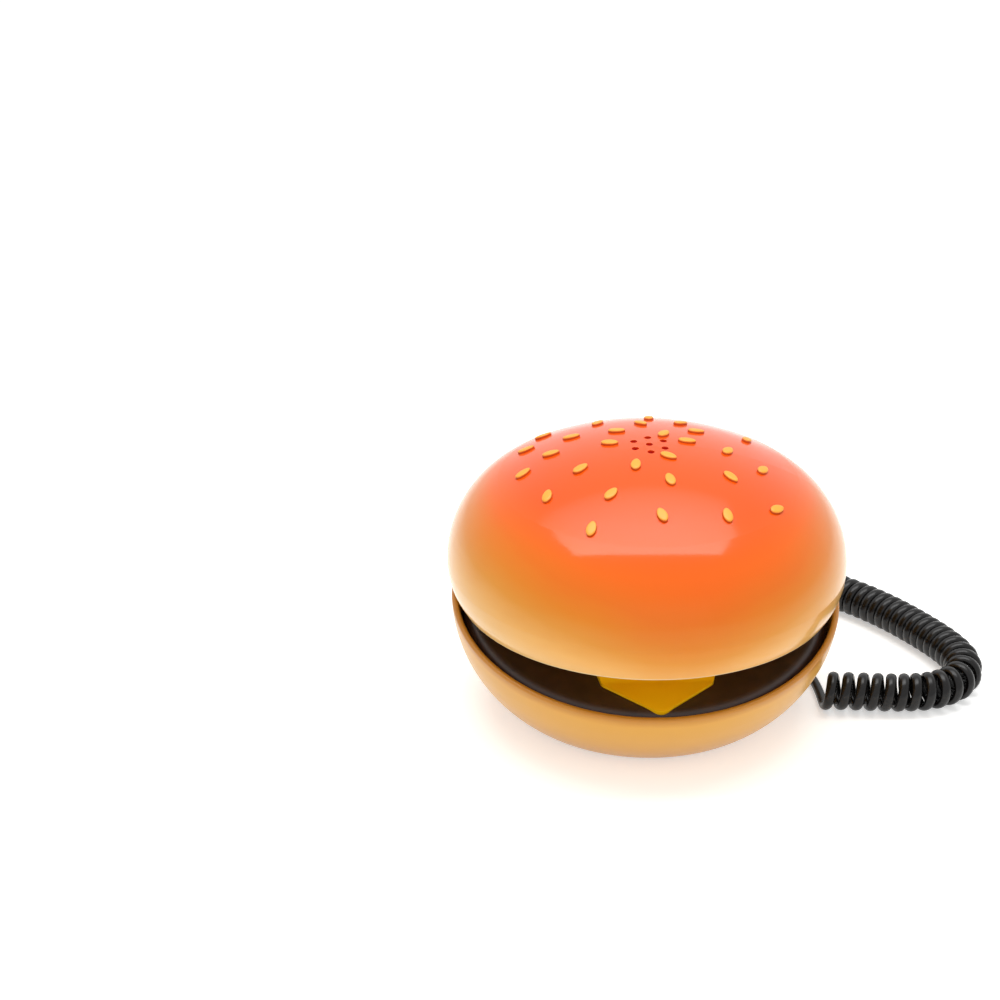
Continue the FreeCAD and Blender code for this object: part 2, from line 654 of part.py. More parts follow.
def make_cheese_deck():
    middle, lid_from, lid_to, outer_from, outer_to = KNUCKLE_EDGES
    under_top = below_deck(0)
    under_sheet = below_deck(DECK_SHEET)
    outline = deck_outline()
    deck = under_top.common(outline).cut(under_sheet)
    wall_x = POCKET_HALF_WIDTH + POCKET_WALL
    wall_y = POCKET_HALF_LENGTH + POCKET_WALL
    tray = on_pocket(rounded_block(wall_x, wall_y, POCKET_CORNER + POCKET_WALL, -POCKET_FLOOR, FAR))
    posts = []
    for sx in (-1, 1):
        for y in BASE_POST_YS:
            posts.append(post(BASE_POST_RADIUS, sx * BASE_POST_X, y, BASE_SEAT_Z, FAR))
    stem, sheet_top, board_top = board_levels()
    stands = []
    for x, y in board_post_spots():
        stands.append(on_pocket(post(BOARD_POST_RADIUS, x, y, board_top, -POCKET_FLOOR / 2)))
    collar = post(MIC_RADIUS + MIC_GAP + MIC_COLLAR_WALL, 0, 0, -MIC_COLLAR_HEIGHT, -DECK_SHEET / 2)
    inner = post(MIC_RADIUS + MIC_GAP, 0, 0, -MIC_COLLAR_HEIGHT - 1, -DECK_SHEET)
    collar = mic_frame(collar.cut(inner))
    deck = deck.fuse([tray.common(under_top)] + [p.common(under_top) for p in posts] + stands + [collar])
    cuts = [on_pocket(rounded_block(POCKET_HALF_WIDTH, POCKET_HALF_LENGTH, POCKET_CORNER, 0, FAR))]
    for x, y in key_spots():
        hole = rounded_block(KEY_WIDTH / 2 + KEY_GAP, KEY_DEPTH / 2 + KEY_GAP, KEY_CORNER, -POCKET_FLOOR - 1, 1)
        hole.translate(Vector(x, y, 0))
        cuts.append(on_pocket(hole))
    for x, y in board_post_spots():
        top = board_top - BOARD_THICK + BOARD_SCREW_LENGTH + 0.3
        cuts.append(on_pocket(post(BOARD_SCREW_RADIUS + SCREW_GAP, x, y, board_top - 1, min(top, -0.5))))
    for sx in (-1, 1):
        for y in BASE_POST_YS:
            pilot = BASE_SCREW_RADIUS + SCREW_GAP
            cuts.append(post(pilot, sx * BASE_POST_X, y, BASE_SEAT_Z - 1, BASE_SEAT_Z + BASE_SCREW_BITE + 0.5))
    for i in (-1, 0, 1):
        slot = rounded_block(MIC_SLOT_WIDTH / 2, MIC_SLOT_LENGTH / 2, MIC_SLOT_WIDTH * 0.45, -DECK_SHEET - 1, 2)
        slot.translate(Vector(i * MIC_SLOT_PITCH, 0, 0))
        cuts.append(mic_frame(slot))
    strip = rounded_block(STRIP_WIDTH / 2 + STRIP_GAP, STRIP_DEPTH / 2 + STRIP_GAP, 1.0, DECK_Z - STRIP_RECESS, FAR)
    strip.translate(Vector(0, STRIP_Y, 0))
    cuts.append(strip)
    hook = rounded_block(HOOK_WIDTH / 2 + HOOK_GAP, HOOK_DEPTH / 2 + HOOK_GAP, 1.0, DECK_Z - 9, FAR)
    hook.translate(Vector(0, HOOK_Y, 0))
    cuts.append(hook)
    reach = HINGE_Y - KNUCKLE_RADIUS - HINGE_CLEAR
    cuts.append(box(-outer_from, outer_from, reach, FAR, 0, FAR))
    deck = deck.cut(cuts)
    low = HINGE_Z - KNUCKLE_RADIUS
    arms = [knuckle(-middle, middle), box(-middle, middle, reach - 1, HINGE_Y, DECK_Z - DECK_SHEET, DECK_Z)]
    for sx in (-1, 1):
        x0, x1 = sorted((sx * outer_from, sx * outer_to))
        arms.append(knuckle(x0, x1))
        arms.append(box(x0, x1, HINGE_Y - 9, HINGE_Y, low + 0.2, DECK_Z))
    deck = deck.fuse(arms)
    return one_solid(deck.cut(knuckle(-FAR, FAR, PIN_RADIUS + PIN_FIXED_GAP)))


def make_function_strip():
    strip = rounded_block(STRIP_WIDTH / 2, STRIP_DEPTH / 2, 0.9, 0, STRIP_THICK)
    strip.translate(Vector(0, STRIP_Y, DECK_Z - STRIP_RECESS))
    return strip


def make_hinge_pin():
    end = KNUCKLE_EDGES[-1]
    pin = rod(PIN_RADIUS, Vector(-end, HINGE_Y, HINGE_Z), Vector(1, 0, 0), 2 * end)
    return pin.makeChamfer(0.3, [e for e in pin.Edges if len(e.Vertexes) == 1])


def make_bottom_bun():
    bowl = bowl_solid(0).cut(bowl_solid(BOWL_WALL, 5.0))
    bowl = bowl.common(below_rim())
    rim = []
    for e in bowl.Edges:
        p = e.valueAt((e.FirstParameter + e.LastParameter) / 2)
        mouth = p.y < MOUTH_START_Y and p.z > BOWL_RIM_Z - 16
        if mouth or p.z > BOWL_RIM_Z - 0.01:
            rim.append(e)
    bowl = bowl.makeFillet(RIM_ROUND, rim)
    inside = bowl_solid(BOWL_WALL / 2)
    bosses = []
    cuts = []
    for sx in (-1, 1):
        for y in BASE_POST_YS:
            x = sx * BASE_POST_X
            bosses.append(post(BASE_BOSS_RADIUS, x, y, 0, BASE_SEAT_Z).common(inside))
            cuts.append(post(BASE_BORE_RADIUS, x, y, -1, BASE_BORE_Z))
            cuts.append(post(BASE_SCREW_RADIUS + 2 * SCREW_GAP, x, y, 0, BASE_SEAT_Z + 1))
        for sy in (-1, 1):
            cuts.append(post(FOOT_RADIUS + FOOT_GAP, sx * FOOT_X, sy * FOOT_Y, -1, FOOT_STAND + FOOT_SINK))
    out = gland_direction()
    base = Vector(0, 0, GLAND_Z)
    pad = GLAND_FACE - GLAND_WALL
    recess = BOOT_FLANGE_RADIUS + 0.6
    bosses.append(rod(recess + BOWL_WALL, base + out * pad, out, GLAND_WALL).common(bowl_solid(0)))
    cuts.append(rod(recess, base + out * GLAND_FACE, out, 20))
    cuts.append(rod(GLAND_HOLE_RADIUS, base + out * (pad - 5), out, 20))
    cuts.append(box(-HINGE_NOTCH_HALF, HINGE_NOTCH_HALF, HINGE_Y - 12, FAR, BOWL_NOTCH_Z, FAR))
    return one_solid(bowl.fuse(bosses).cut(cuts))


def make_patty():
    """A round disc that lies on the slope under the cheese, open in the middle and only in the front half."""
    top = DECK_SHEET + PATTY_SEAT_GAP
    disc = post(PATTY_RADIUS, 0, 0, -PATTY_THICK, 0)
    rim = [e for e in disc.Edges if len(e.Vertexes) == 1 and abs(e.Vertexes[0].Point.z) < 1e-6]
    disc = disc.makeFillet(PATTY_EDGE_ROUND, rim)
    disc.Placement = Placement(Vector(0, 0, deck_height(0) - top), Rotation(Vector(1, 0, 0), DECK_ANGLE))
    body = disc.common(bowl_solid(BOWL_WALL + PATTY_GAP, 5.0))
    body = body.cut(box(-FAR, FAR, MOUTH_START_Y - 3, FAR, -FAR, FAR))
    r = deck_radius()
    a = Vector(math.sqrt(r * r - MOUTH_START_Y ** 2), MOUTH_START_Y, 0)
    b = Vector(CORNER_HALF_WIDTH, DIP_START_Y, 0)
    run = b - a
    run.normalize()
    start = a + Vector(run.y, -run.x, 0) * PATTY_LAP
    apex = start.y - start.x / run.x * run.y
    pts = [Vector(start.x, start.y, 0), Vector(0, apex, 0), Vector(-start.x, start.y, 0), Vector(0, FAR, 0)]
    hole = grown(Part.Face(Part.makePolygon(pts + pts[:1])), Vector(0, 0, FAR))
    above = deck_outline(PATTY_GAP).cut(below_deck(top))
    wall_x = POCKET_HALF_WIDTH + POCKET_WALL + PATTY_GAP
    wall_y = POCKET_HALF_LENGTH + POCKET_WALL + PATTY_GAP
    tray = on_pocket(rounded_block(wall_x, wall_y, POCKET_CORNER + POCKET_WALL, -FAR, FAR))
    return one_solid(body.cut([hole, above, tray]))


def make_rubber_feet():
    feet = []
    for sx in (-1, 1):
        for sy in (-1, 1):
            foot = post(FOOT_RADIUS, sx * FOOT_X, sy * FOOT_Y, 0, FOOT_STAND + FOOT_SINK)
            low = [e for e in foot.Edges if len(e.Vertexes) == 1 and e.Vertexes[0].Point.z < 0.01]
            feet.append(foot.makeChamfer(0.3, low))
    return Part.makeCompound(feet)


def make_base_screws():
    screws = []
    for sx in (-1, 1):
        for y in BASE_POST_YS:
            x = sx * BASE_POST_X
            head = post(BASE_SCREW_HEAD_RADIUS, x, y, BASE_BORE_Z - BASE_SCREW_HEAD, BASE_BORE_Z)
            head = cross_slot(head, x, y, BASE_BORE_Z - BASE_SCREW_HEAD, BASE_SCREW_HEAD_RADIUS)
            shank = post(BASE_SCREW_RADIUS, x, y, BASE_BORE_Z, BASE_SEAT_Z + BASE_SCREW_BITE)
            screws.append(one_solid(head.fuse(shank)))
    return Part.makeCompound(screws)


def make_top_bun():
    shell = lid_solid(0)
    low = [e for e in shell.Edges if len(e.Vertexes) == 1 and abs(e.Vertexes[0].Point.z - LID_EDGE_Z) < 1e-6]
    shell = shell.makeFillet(LID_EDGE_ROUND, low)
    inner = lid_solid(LID_WALL)
    shell = shell.cut(inner)
    room = lid_solid(LID_WALL / 2)
    seat = COVER_TOP_Z + LID_SCREW_SEAT
    fixings = []
    cuts = []
    for sx in (-1, 1):
        x = sx * LID_SCREW_X
        fixings.append(post(LID_BOSS_RADIUS, x, PLATE_Y, seat, CROWN_Z).common(room))
        cuts.append(post(LID_SCREW_RADIUS + SCREW_GAP, x, PLATE_Y, seat - 1, seat + LID_SCREW_BITE + 0.5))
    ring = RINGER_RADIUS + RINGER_GAP
    collar_low = CROWN_Z - LID_WALL - RINGER_COLLAR_HEIGHT
    collar = post(ring + RINGER_COLLAR_WALL, 0, 0, collar_low, CROWN_Z).cut(post(ring, 0, 0, collar_low, CROWN_Z))
    fixings.append(collar.common(room))
    holes = [(0, 0)]
    for i in range(CROWN_RING_COUNT):
        a = math.radians(90 + 360 / CROWN_RING_COUNT * i)
        holes.append((CROWN_RING_RADIUS * math.cos(a), CROWN_RING_RADIUS * math.sin(a)))
    for x, y in holes:
        cuts.append(post(CROWN_HOLE_RADIUS, x, y, CROWN_Z - LID_WALL - 3, CROWN_Z + 1))
    n = HINGE_NOTCH_HALF
    cuts.append(box(-n, n, HINGE_Y - 12, FAR, 0, LID_NOTCH_Z))
    return one_solid(shell.fuse(fixings).cut(cuts))


def seed_solid():
    """A flat-topped drop, round at one end and narrow at the other, lying along X."""
    big = SEED_WIDTH / 2
    small = SEED_TIP_RADIUS
    gap = SEED_LENGTH - big - small
    lean = math.acos((big - small) / gap)
    up = Vector(math.cos(lean), math.sin(lean), 0)
    down = Vector(up.x, -up.y, 0)
    left = Vector(-gap / 2, 0, 0)
    right = Vector(gap / 2, 0, 0)
    edges = [
        Part.Arc(left + up * big, left + Vector(-big, 0, 0), left + down * big).toShape(),
        Part.makeLine(left + down * big, right + down * small),
        Part.Arc(right + down * small, right + Vector(small, 0, 0), right + up * small).toShape(),
        Part.makeLine(right + up * small, left + up * big),
    ]
    sunk = 0.8
    seed = grown(Part.Face(Part.Wire(edges)), Vector(0, 0, SEED_RISE + sunk))
    seed.translate(Vector(0, 0, -sunk))
    rim = [e for e in seed.Edges if all(abs(v.Point.z - SEED_RISE) < 1e-6 for v in e.Vertexes)]
    return seed.makeFillet(SEED_EDGE_ROUND, rim)


def make_sesame_seeds():
    pattern = seed_solid()
    dome = lid_solid(0)
    seeds = []
    for x, y, heading in SEED_SPOTS:
        spot, out = dome_spot(x, y)
        a = math.radians(heading)
        along = Vector(math.cos(a), math.sin(a), 0)
        along = along - out * along.dot(out)
        along.normalize()
        seed = pattern.copy()
        seed.Placement = Placement(spot, Rotation(along, out.cross(along), out, "ZXY"))
        seeds.append(seed.cut(dome).Solids[0])
    return Part.makeCompound(seeds)


def mound_solid(inset):
    """The earpiece mound, taken in by inset, reaching up to the cover's upper face."""
    w = MOUND_RADIUS - MOUND_FLAT_RADIUS
    r = (w * w + MOUND_DEPTH ** 2) / (2 * MOUND_DEPTH)
    cz = COVER_Z - MOUND_DEPTH + r
    top = COVER_Z + inset
    reach = math.asin((cz - top) / (r - inset))
    edge = on_circle(MOUND_FLAT_RADIUS, cz, r - inset, -reach)
    low = COVER_Z - MOUND_DEPTH + inset
    edges = [
        Part.makeLine(Vector(0, 0, low), Vector(MOUND_FLAT_RADIUS, 0, low)),
        arc_on(MOUND_FLAT_RADIUS, cz, r - inset, -math.pi / 2, -reach),
        Part.makeLine(edge, Vector(0, 0, top)),
        Part.makeLine(Vector(0, 0, top), Vector(0, 0, low)),
    ]
    return spun(edges, Vector(0, MOUND_Y, 0))


def make_lid_cover():
    cover = post(COVER_RADIUS, 0, 0, COVER_Z, COVER_TOP_Z)
    ring = RECEIVER_RADIUS + RECEIVER_GAP
    collar = post(ring + COLLAR_WALL, 0, MOUND_Y, COVER_TOP_Z - 0.5, COVER_TOP_Z + COLLAR_HEIGHT)
    adds = [mound_solid(0), collar]
    cuts = [mound_solid(COVER_SHEET), post(ring, 0, MOUND_Y, COVER_TOP_Z - RECEIVER_SINK, FAR)]
    seat = COVER_TOP_Z + LID_SCREW_SEAT
    plate_top = COVER_Z + PLATE_RECESS
    for sx in (-1, 1):
        x = sx * LID_SCREW_X
        adds.append(post(LID_SCREW_BOSS_RADIUS, x, PLATE_Y, COVER_Z, seat))
        cuts.append(post(LID_BORE_RADIUS, x, PLATE_Y, 0, plate_top + LID_BORE_DEPTH))
        cuts.append(post(LID_SCREW_RADIUS + 2 * SCREW_GAP, x, PLATE_Y, 0, FAR))
    plate = rounded_block(PLATE_WIDTH / 2 + PLATE_GAP, PLATE_DEPTH / 2 + PLATE_GAP, 1.5, 0, plate_top)
    plate.translate(Vector(0, PLATE_Y, 0))
    cuts.append(plate)
    low = COVER_Z - MOUND_DEPTH
    cuts.append(post(EAR_HOLE_RADIUS, 0, MOUND_Y, low - 1, low + COVER_SHEET + 1))
    for k, r in enumerate(EAR_RINGS):
        for i in range(EAR_RING_COUNT):
            a = 2 * math.pi * (i + 0.5 * k) / EAR_RING_COUNT
            x = r * math.cos(a)
            y = MOUND_Y + r * math.sin(a)
            cuts.append(post(EAR_HOLE_RADIUS, x, y, low - 1, low + COVER_SHEET + 1))
    n = HINGE_NOTCH_HALF
    cuts.append(box(-n, n, HINGE_Y - KNUCKLE_RADIUS - HINGE_CLEAR, FAR, 0, FAR))
    return one_solid(cover.fuse(adds).cut(cuts))


def make_lid_hinge_leaf():
    middle, x0, x1, outer_from, outer_to = KNUCKLE_EDGES
    top = COVER_TOP_Z + LEAF_THICK
    adds = []
    for sx in (-1, 1):
        a, b = sorted((sx * x0, sx * x1))
        adds.append(box(a, b, LEAF_FRONT_Y, HINGE_Y, COVER_TOP_Z, top))
        adds.append(box(a, b, HINGE_Y - KNUCKLE_RADIUS, HINGE_Y + 1, HINGE_Z, top))
        adds.append(knuckle(a, b))
    plate = box(-x1, x1, LEAF_FRONT_Y, HINGE_Y - KNUCKLE_RADIUS - 2 * HINGE_CLEAR, COVER_TOP_Z, top)
    leaf = plate.fuse(adds)
    return one_solid(leaf.cut(knuckle(-FAR, FAR, PIN_RADIUS + PIN_RUN_GAP)))


def make_receiver():
    low = COVER_TOP_Z - RECEIVER_SINK
    body = post(RECEIVER_RADIUS, 0, MOUND_Y, low, low + RECEIVER_HEIGHT)
    return body.makeFillet(0.6, [e for e in body.Edges if len(e.Vertexes) == 1])


def make_ringer():
    top = CROWN_Z - RINGER_BELOW_CROWN
    body = post(RINGER_RADIUS, 0, 0, top - RINGER_HEIGHT, top)
    return body.makeFillet(0.5, [e for e in body.Edges if len(e.Vertexes) == 1])


def make_name_plate():
    plate = rounded_block(PLATE_WIDTH / 2, PLATE_DEPTH / 2, 1.4, 0, PLATE_THICK)
    plate.translate(Vector(0, PLATE_Y, COVER_Z + PLATE_RECESS - PLATE_THICK))
    return plate


def make_lid_screws():
    seat = COVER_TOP_Z + LID_SCREW_SEAT
    bore = COVER_Z + PLATE_RECESS + LID_BORE_DEPTH
    screws = []
    for sx in (-1, 1):
        x = sx * LID_SCREW_X
        head = post(LID_SCREW_HEAD_RADIUS, x, PLATE_Y, bore - LID_SCREW_HEAD, bore)
        head = cross_slot(head, x, PLATE_Y, bore - LID_SCREW_HEAD, LID_SCREW_HEAD_RADIUS)
        shank = post(LID_SCREW_RADIUS, x, PLATE_Y, bore, seat + LID_SCREW_BITE)
        screws.append(one_solid(head.fuse(shank)))
    return Part.makeCompound(screws)


def gland_direction():
    a = math.radians(GLAND_AZIMUTH)
    return Vector(math.cos(a), math.sin(a), 0)


def boot_tip():
    return Vector(0, 0, GLAND_Z) + gland_direction() * (GLAND_FACE + BOOT_FLANGE + BOOT_LENGTH)


def make_strain_relief():
    """A tapered, ribbed boot with a flange on each side of the bowl's wall, made upright and laid in place."""
    neck = GLAND_HOLE_RADIUS - GLAND_GAP
    start = -GLAND_WALL
    boot = post(neck, 0, 0, start, 0)
    parts = [post(BOOT_INNER_RADIUS, 0, 0, start - BOOT_FLANGE, start), post(BOOT_FLANGE_RADIUS, 0, 0, 0, BOOT_FLANGE)]
    parts.append(Part.makeCone(BOOT_ROOT_RADIUS, BOOT_TIP_RADIUS, BOOT_LENGTH, Vector(0, 0, BOOT_FLANGE)))
    boot = boot.fuse(parts)
    grooves = []
    step = BOOT_LENGTH / (BOOT_RIBS + 0.5)
    for i in range(BOOT_RIBS):
        z = BOOT_FLANGE + step * (i + 0.5)
        r = BOOT_ROOT_RADIUS + (BOOT_TIP_RADIUS - BOOT_ROOT_RADIUS) * (z - BOOT_FLANGE) / BOOT_LENGTH
        grooves.append(post(r + 1, 0, 0, z, z + step * 0.4).cut(post(r - BOOT_GROOVE, 0, 0, z, z + step * 0.4)))
    boot = one_solid(boot.cut(grooves))
    out = gland_direction()
    boot.Placement = Placement(Vector(0, 0, GLAND_Z) + out * GLAND_FACE, Rotation(UP, out))
    return boot


def rounded_route(points, end_share=0.45):
    """Straight runs joined by tangent arcs, as edges, with the arcs' radii."""
    edges = []
    radii = []
    at = points[0]
    for a, b, c in zip(points, points[1:], points[2:]):
        d0 = b - a
        d1 = c - b
        reach = end_share * min(d0.Length, d1.Length)
        d0.normalize()
        d1.normalize()
        turn = math.acos(max(-1.0, min(1.0, d0.dot(d1))))
        p = b - d0 * reach
        q = b + d1 * reach
        edges.append(Part.makeLine(at, p))
        edges.append(arc_from(p, d0, q))
        radii.append(reach / math.tan(turn / 2))
        at = q
    edges.append(Part.makeLine(at, points[-1]))
    return edges, radii


def tube(edges, radius):
    """A round tube along edges that follow each other smoothly."""
    start = edges[0].valueAt(edges[0].FirstParameter)
    heading = edges[0].tangentAt(edges[0].FirstParameter)
    ring = Part.Wire([Part.makeCircle(radius, start, heading)])
    solid = Part.Wire(edges).makePipeShell([ring], True, False)
    if solid.Volume < 0:
        solid.reverse()
    solid = Part.Solid(solid) if solid.ShapeType == "Shell" else solid
    length = sum(e.Length for e in edges)
    share = solid.Volume / (math.pi * radius ** 2 * length)
    print("tube length %.1f mm, volume share %.4f, valid %s" % (length, share, solid.isValid()))
    return solid


class CoilLine:
    """The coil's middle line, looked up by distance along it."""

    def __init__(self):
        self.z = FLOOR_GAP + WIRE_RADIUS + CURL_RADIUS
        points = [Vector(x, y, self.z) for x, y in COIL_ROUTE]
        self.edges, radii = rounded_route(points)
        print("coil route radii", ["%.1f" % r for r in radii])
        self.ends = []
        total = 0.0
        for e in self.edges:
            total += e.Length
            self.ends.append(total)
        self.length = total

    def find(self, s):
        s = max(0.0, min(self.length - 1e-9, s))
        i = 0
        while self.ends[i] < s:
            i += 1
        e = self.edges[i]
        back = self.ends[i] - e.Length
        share = (s - back) / e.Length
        return e, e.FirstParameter + share * (e.LastParameter - e.FirstParameter)

    def point(self, s):
        e, t = self.find(s)
        return e.valueAt(t)

    def heading(self, s):
        """The direction, evened out over a few millimetres."""
        total = Vector(0, 0, 0)
        for k in (-3.0, -1.5, 0.0, 1.5, 3.0):
            e, t = self.find(s + k)
            total = total + e.tangentAt(t)
        total.normalize()
        return total

    def bend(self, s):
        """How sharply the line bends, evened out over two curls."""
        a = self.heading(s - 4.0)
        b = self.heading(s + 4.0)
        return math.acos(max(-1.0, min(1.0, a.dot(b)))) / 8.0


def curl_stations():
    """Distance along the coil's line at each half turn."""
    line = CoilLine()
    steps = 40
    s = 0.0
    stations = [0.0]
    turns = 0.0
    while True:
        for i in range(steps):
            stretch = CURL_STRETCH * math.exp(-(turns / CURL_STRETCH_TURNS) ** 2)
            room = max(CURL_PITCH / (1 - CURL_RADIUS * line.bend(s)), CURL_PITCH + stretch)
            s += room * 0.5 / steps
            turns += 0.5 / steps
        if s > line.length and len(stations) % 2 == 1:
            return line, stations
        stations.append(s)


def curl_point(line, stations, u):
    """The wire's middle after u half turns; it starts at the bottom and rises in front."""
    i = max(0, min(len(stations) - 2, int(math.floor(u))))
    lo = stations[i - 1] if i > 0 else stations[0] - (stations[1] - stations[0])
    hi = stations[i + 2] if i + 2 < len(stations) else stations[-1] + (stations[-1] - stations[-2])
    f = u - i
    p0, p1 = stations[i], stations[i + 1]
    m0 = (p1 - lo) / 2
    m1 = (hi - p0) / 2
    s = ((2 * f ** 3 - 3 * f ** 2 + 1) * p0 + (f ** 3 - 2 * f ** 2 + f) * m0
         + (-2 * f ** 3 + 3 * f ** 2) * p1 + (f ** 3 - f ** 2) * m1)
    ahead = line.heading(s)
    beyond = s - max(0.0, min(line.length, s))
    right = ahead.cross(UP)
    a = math.pi * u
    middle = line.point(s) + ahead * beyond
    return middle + right * (CURL_RADIUS * math.sin(a)) - UP * (CURL_RADIUS * math.cos(a))


def curl_heading(line, stations, u):
    h = 0.01
    d = curl_point(line, stations, u + h) - curl_point(line, stations, u - h)
    d.normalize()
    return d


def biarc(p0, t0, p1, t1):
    """Two arcs from p0 along t0 to p1 along t1."""
    v = p1 - p0
    t = t0 + t1
    bend = 2 * (1 - t0.dot(t1))
    if bend < 1e-9:
        return [Part.makeLine(p0, p1)]
    vt = v.dot(t)
    d = (-vt + math.sqrt(vt * vt + bend * v.dot(v))) / bend
    middle = (p0 + p1 + (t0 - t1) * d) * 0.5
    first = arc_from(p0, t0, middle)
    turn = first.tangentAt(first.LastParameter)
    return [first, arc_from(middle, turn, p1)]


def coil_wire():
    """Edges of the curled wire, with a straight end of one diameter at each side."""
    line, stations = curl_stations()
    last = len(stations) - 1
    quarter = 0.5
    count = int(round(last / quarter))
    points = [curl_point(line, stations, i * quarter) for i in range(count + 1)]
    turns = [curl_heading(line, stations, i * quarter) for i in range(count + 1)]
    flat_start = Vector(turns[0].x, turns[0].y, 0)
    flat_end = Vector(turns[-1].x, turns[-1].y, 0)
    flat_start.normalize()
    flat_end.normalize()
    turns[0] = flat_start
    turns[-1] = flat_end
    straight = 2 * WIRE_RADIUS
    edges = [Part.makeLine(points[0] - flat_start * straight, points[0])]
    for i in range(count):
        edges += biarc(points[i], turns[i], points[i + 1], turns[i + 1])
    edges.append(Part.makeLine(points[-1], points[-1] + flat_end * straight))
    print("curls", last / 2, "end at", points[-1], "heading", flat_end)
    return edges


def check_self_gap(edges, radius):
    """Prints the least gap between curls, measured on points along the wire."""
    pts = []
    along = 0.0
    for e in edges:
        n = max(2, int(e.Length / 0.5))
        for i in range(n):
            f = i / n
            t = e.FirstParameter + f * (e.LastParameter - e.FirstParameter)
            pts.append((along + f * e.Length, e.valueAt(t)))
        along += e.Length
    cells = {}
    size = 4.0
    for k, (s, p) in enumerate(pts):
        cells.setdefault((int(p.x // size), int(p.y // size), int(p.z // size)), []).append(k)
    least = 99.0
    for (i, j, k), members in cells.items():
        near = []
        for a in (-1, 0, 1):
            for b in (-1, 0, 1):
                for c in (-1, 0, 1):
                    near += cells.get((i + a, j + b, k + c), [])
        for m in members:
            for n in near:
                if pts[n][0] - pts[m][0] > 4 * CURL_RADIUS:
                    least = min(least, pts[m][1].distanceToPoint(pts[n][1]))
    print("least gap between curls %.2f mm" % (least - 2 * radius))


def make_cord_pieces():
    coil_edges = coil_wire()
    check_self_gap(coil_edges, WIRE_RADIUS)
    start = coil_edges[0].valueAt(coil_edges[0].FirstParameter)
    enter = coil_edges[0].tangentAt(coil_edges[0].FirstParameter)
    end = coil_edges[-1].valueAt(coil_edges[-1].LastParameter)
    leave = coil_edges[-1].tangentAt(coil_edges[-1].LastParameter)
    tip = boot_tip()
    points = [tip] + [Vector(x, y, z) for x, y, z in LEAD_ROUTE]
    points += [start - enter * CORD_END_RUN, start]
    lead_edges, lead_radii = rounded_route(points)
    a = math.radians(PLUG_HEADING)
    ahead = Vector(math.cos(a), math.sin(a), 0)
    mouth = Vector(PLUG_BACK[0], PLUG_BACK[1], PLUG_HEIGHT / 2 + FLOOR_GAP)
    points = [end, end + leave * CORD_END_RUN] + [Vector(x, y, z) for x, y, z in TAIL_ROUTE]
    points += [mouth - ahead * CORD_END_RUN, mouth]
    tail_edges, tail_radii = rounded_route(points)
    print("lead radii", ["%.1f" % r for r in lead_radii])
    print("tail radii", ["%.1f" % r for r in tail_radii])
    return tube(lead_edges, WIRE_RADIUS), tube(coil_edges, WIRE_RADIUS), tube(tail_edges, WIRE_RADIUS)


def plug_place(shape):
    """Lays the plug, made along +X from its wire end, on the floor behind the telephone."""
    place = Placement(Vector(PLUG_BACK[0], PLUG_BACK[1], FLOOR_GAP), Rotation(UP, PLUG_HEADING))
    moved = shape.copy()
    moved.Placement = place.multiply(shape.Placement)
    return moved


def contact_spots():
    return [(i - (PLUG_CONTACTS - 1) / 2) * PLUG_CONTACT_PITCH for i in range(PLUG_CONTACTS)]


def make_line_plug():
    w = PLUG_WIDTH / 2
    body = box(0, PLUG_LENGTH, -w, w, 0, PLUG_HEIGHT)
    body = body.makeFillet(0.4, body.Edges)
    latch = box(PLUG_LENGTH - 3.5, PLUG_LENGTH - 1.5, -1.6, 1.6, PLUG_HEIGHT - 0.6, PLUG_HEIGHT + 1.6)
    lever = box(0.5, PLUG_LENGTH - 1.5, -1.6, 1.6, PLUG_HEIGHT + 0.9, PLUG_HEIGHT + 1.9)
    slots = []
    for y in contact_spots():
        t = PLUG_CONTACT_THICK / 2 + 0.03
        slots.append(box(PLUG_LENGTH - 4.0, PLUG_LENGTH + 1, y - t, y + t, -1, 3.0))
    return plug_place(one_solid(body.fuse([latch, lever]).cut(slots)))


def make_plug_contacts():
    blades = []
    for y in contact_spots():
        t = PLUG_CONTACT_THICK / 2
        blades.append(plug_place(box(PLUG_LENGTH - 3.98, PLUG_LENGTH - 0.5, y - t, y + t, 0.6, 2.98)))
    return Part.makeCompound(blades)


def save(name, shape):
    shape.exportStep("parts/%s.step" % name)
    kind = len(shape.Solids)
    print("%-20s solids %2d  volume %9.1f  valid %s" % (name, kind, shape.Volume, shape.isValid()))


def main():
    os.makedirs("parts", exist_ok=True)
    save("bottom_bun", make_bottom_bun())
    save("patty", make_patty())
    save("cheese_deck", make_cheese_deck())
    save("function_strip", make_function_strip())
    save("key_mat", make_key_mat())
    save("main_board", make_main_board())
    save("board_screws", make_board_screws())
    save("base_screws", make_base_screws())
    save("rubber_feet", make_rubber_feet())
    save("microphone", make_microphone())
    save("hook_switch", make_hook_switch())
    save("hook_button", make_hook_button())
    save("hinge_pin", make_hinge_pin())
    save("top_bun", make_top_bun())
    save("sesame_seeds", make_sesame_seeds())
    save("lid_cover", make_lid_cover())
    save("lid_hinge_leaf", make_lid_hinge_leaf())
    save("receiver", make_receiver())
    save("ringer", make_ringer())
    save("name_plate", make_name_plate())
    save("lid_screws", make_lid_screws())
    key = make_key()
    for name, (x, y) in zip(KEY_NAMES, key_spots()):
        one = key.copy()
        one.translate(Vector(x, y, 0))
        save("key_" + name, on_pocket(one))
    save("cord_strain_relief", make_strain_relief())
    lead, coil, tail = make_cord_pieces()
    save("cord_lead_in", lead)
    save("curly_cord", coil)
    save("cord_tail", tail)
    save("line_plug", make_line_plug())
    save("plug_contacts", make_plug_contacts())


main()
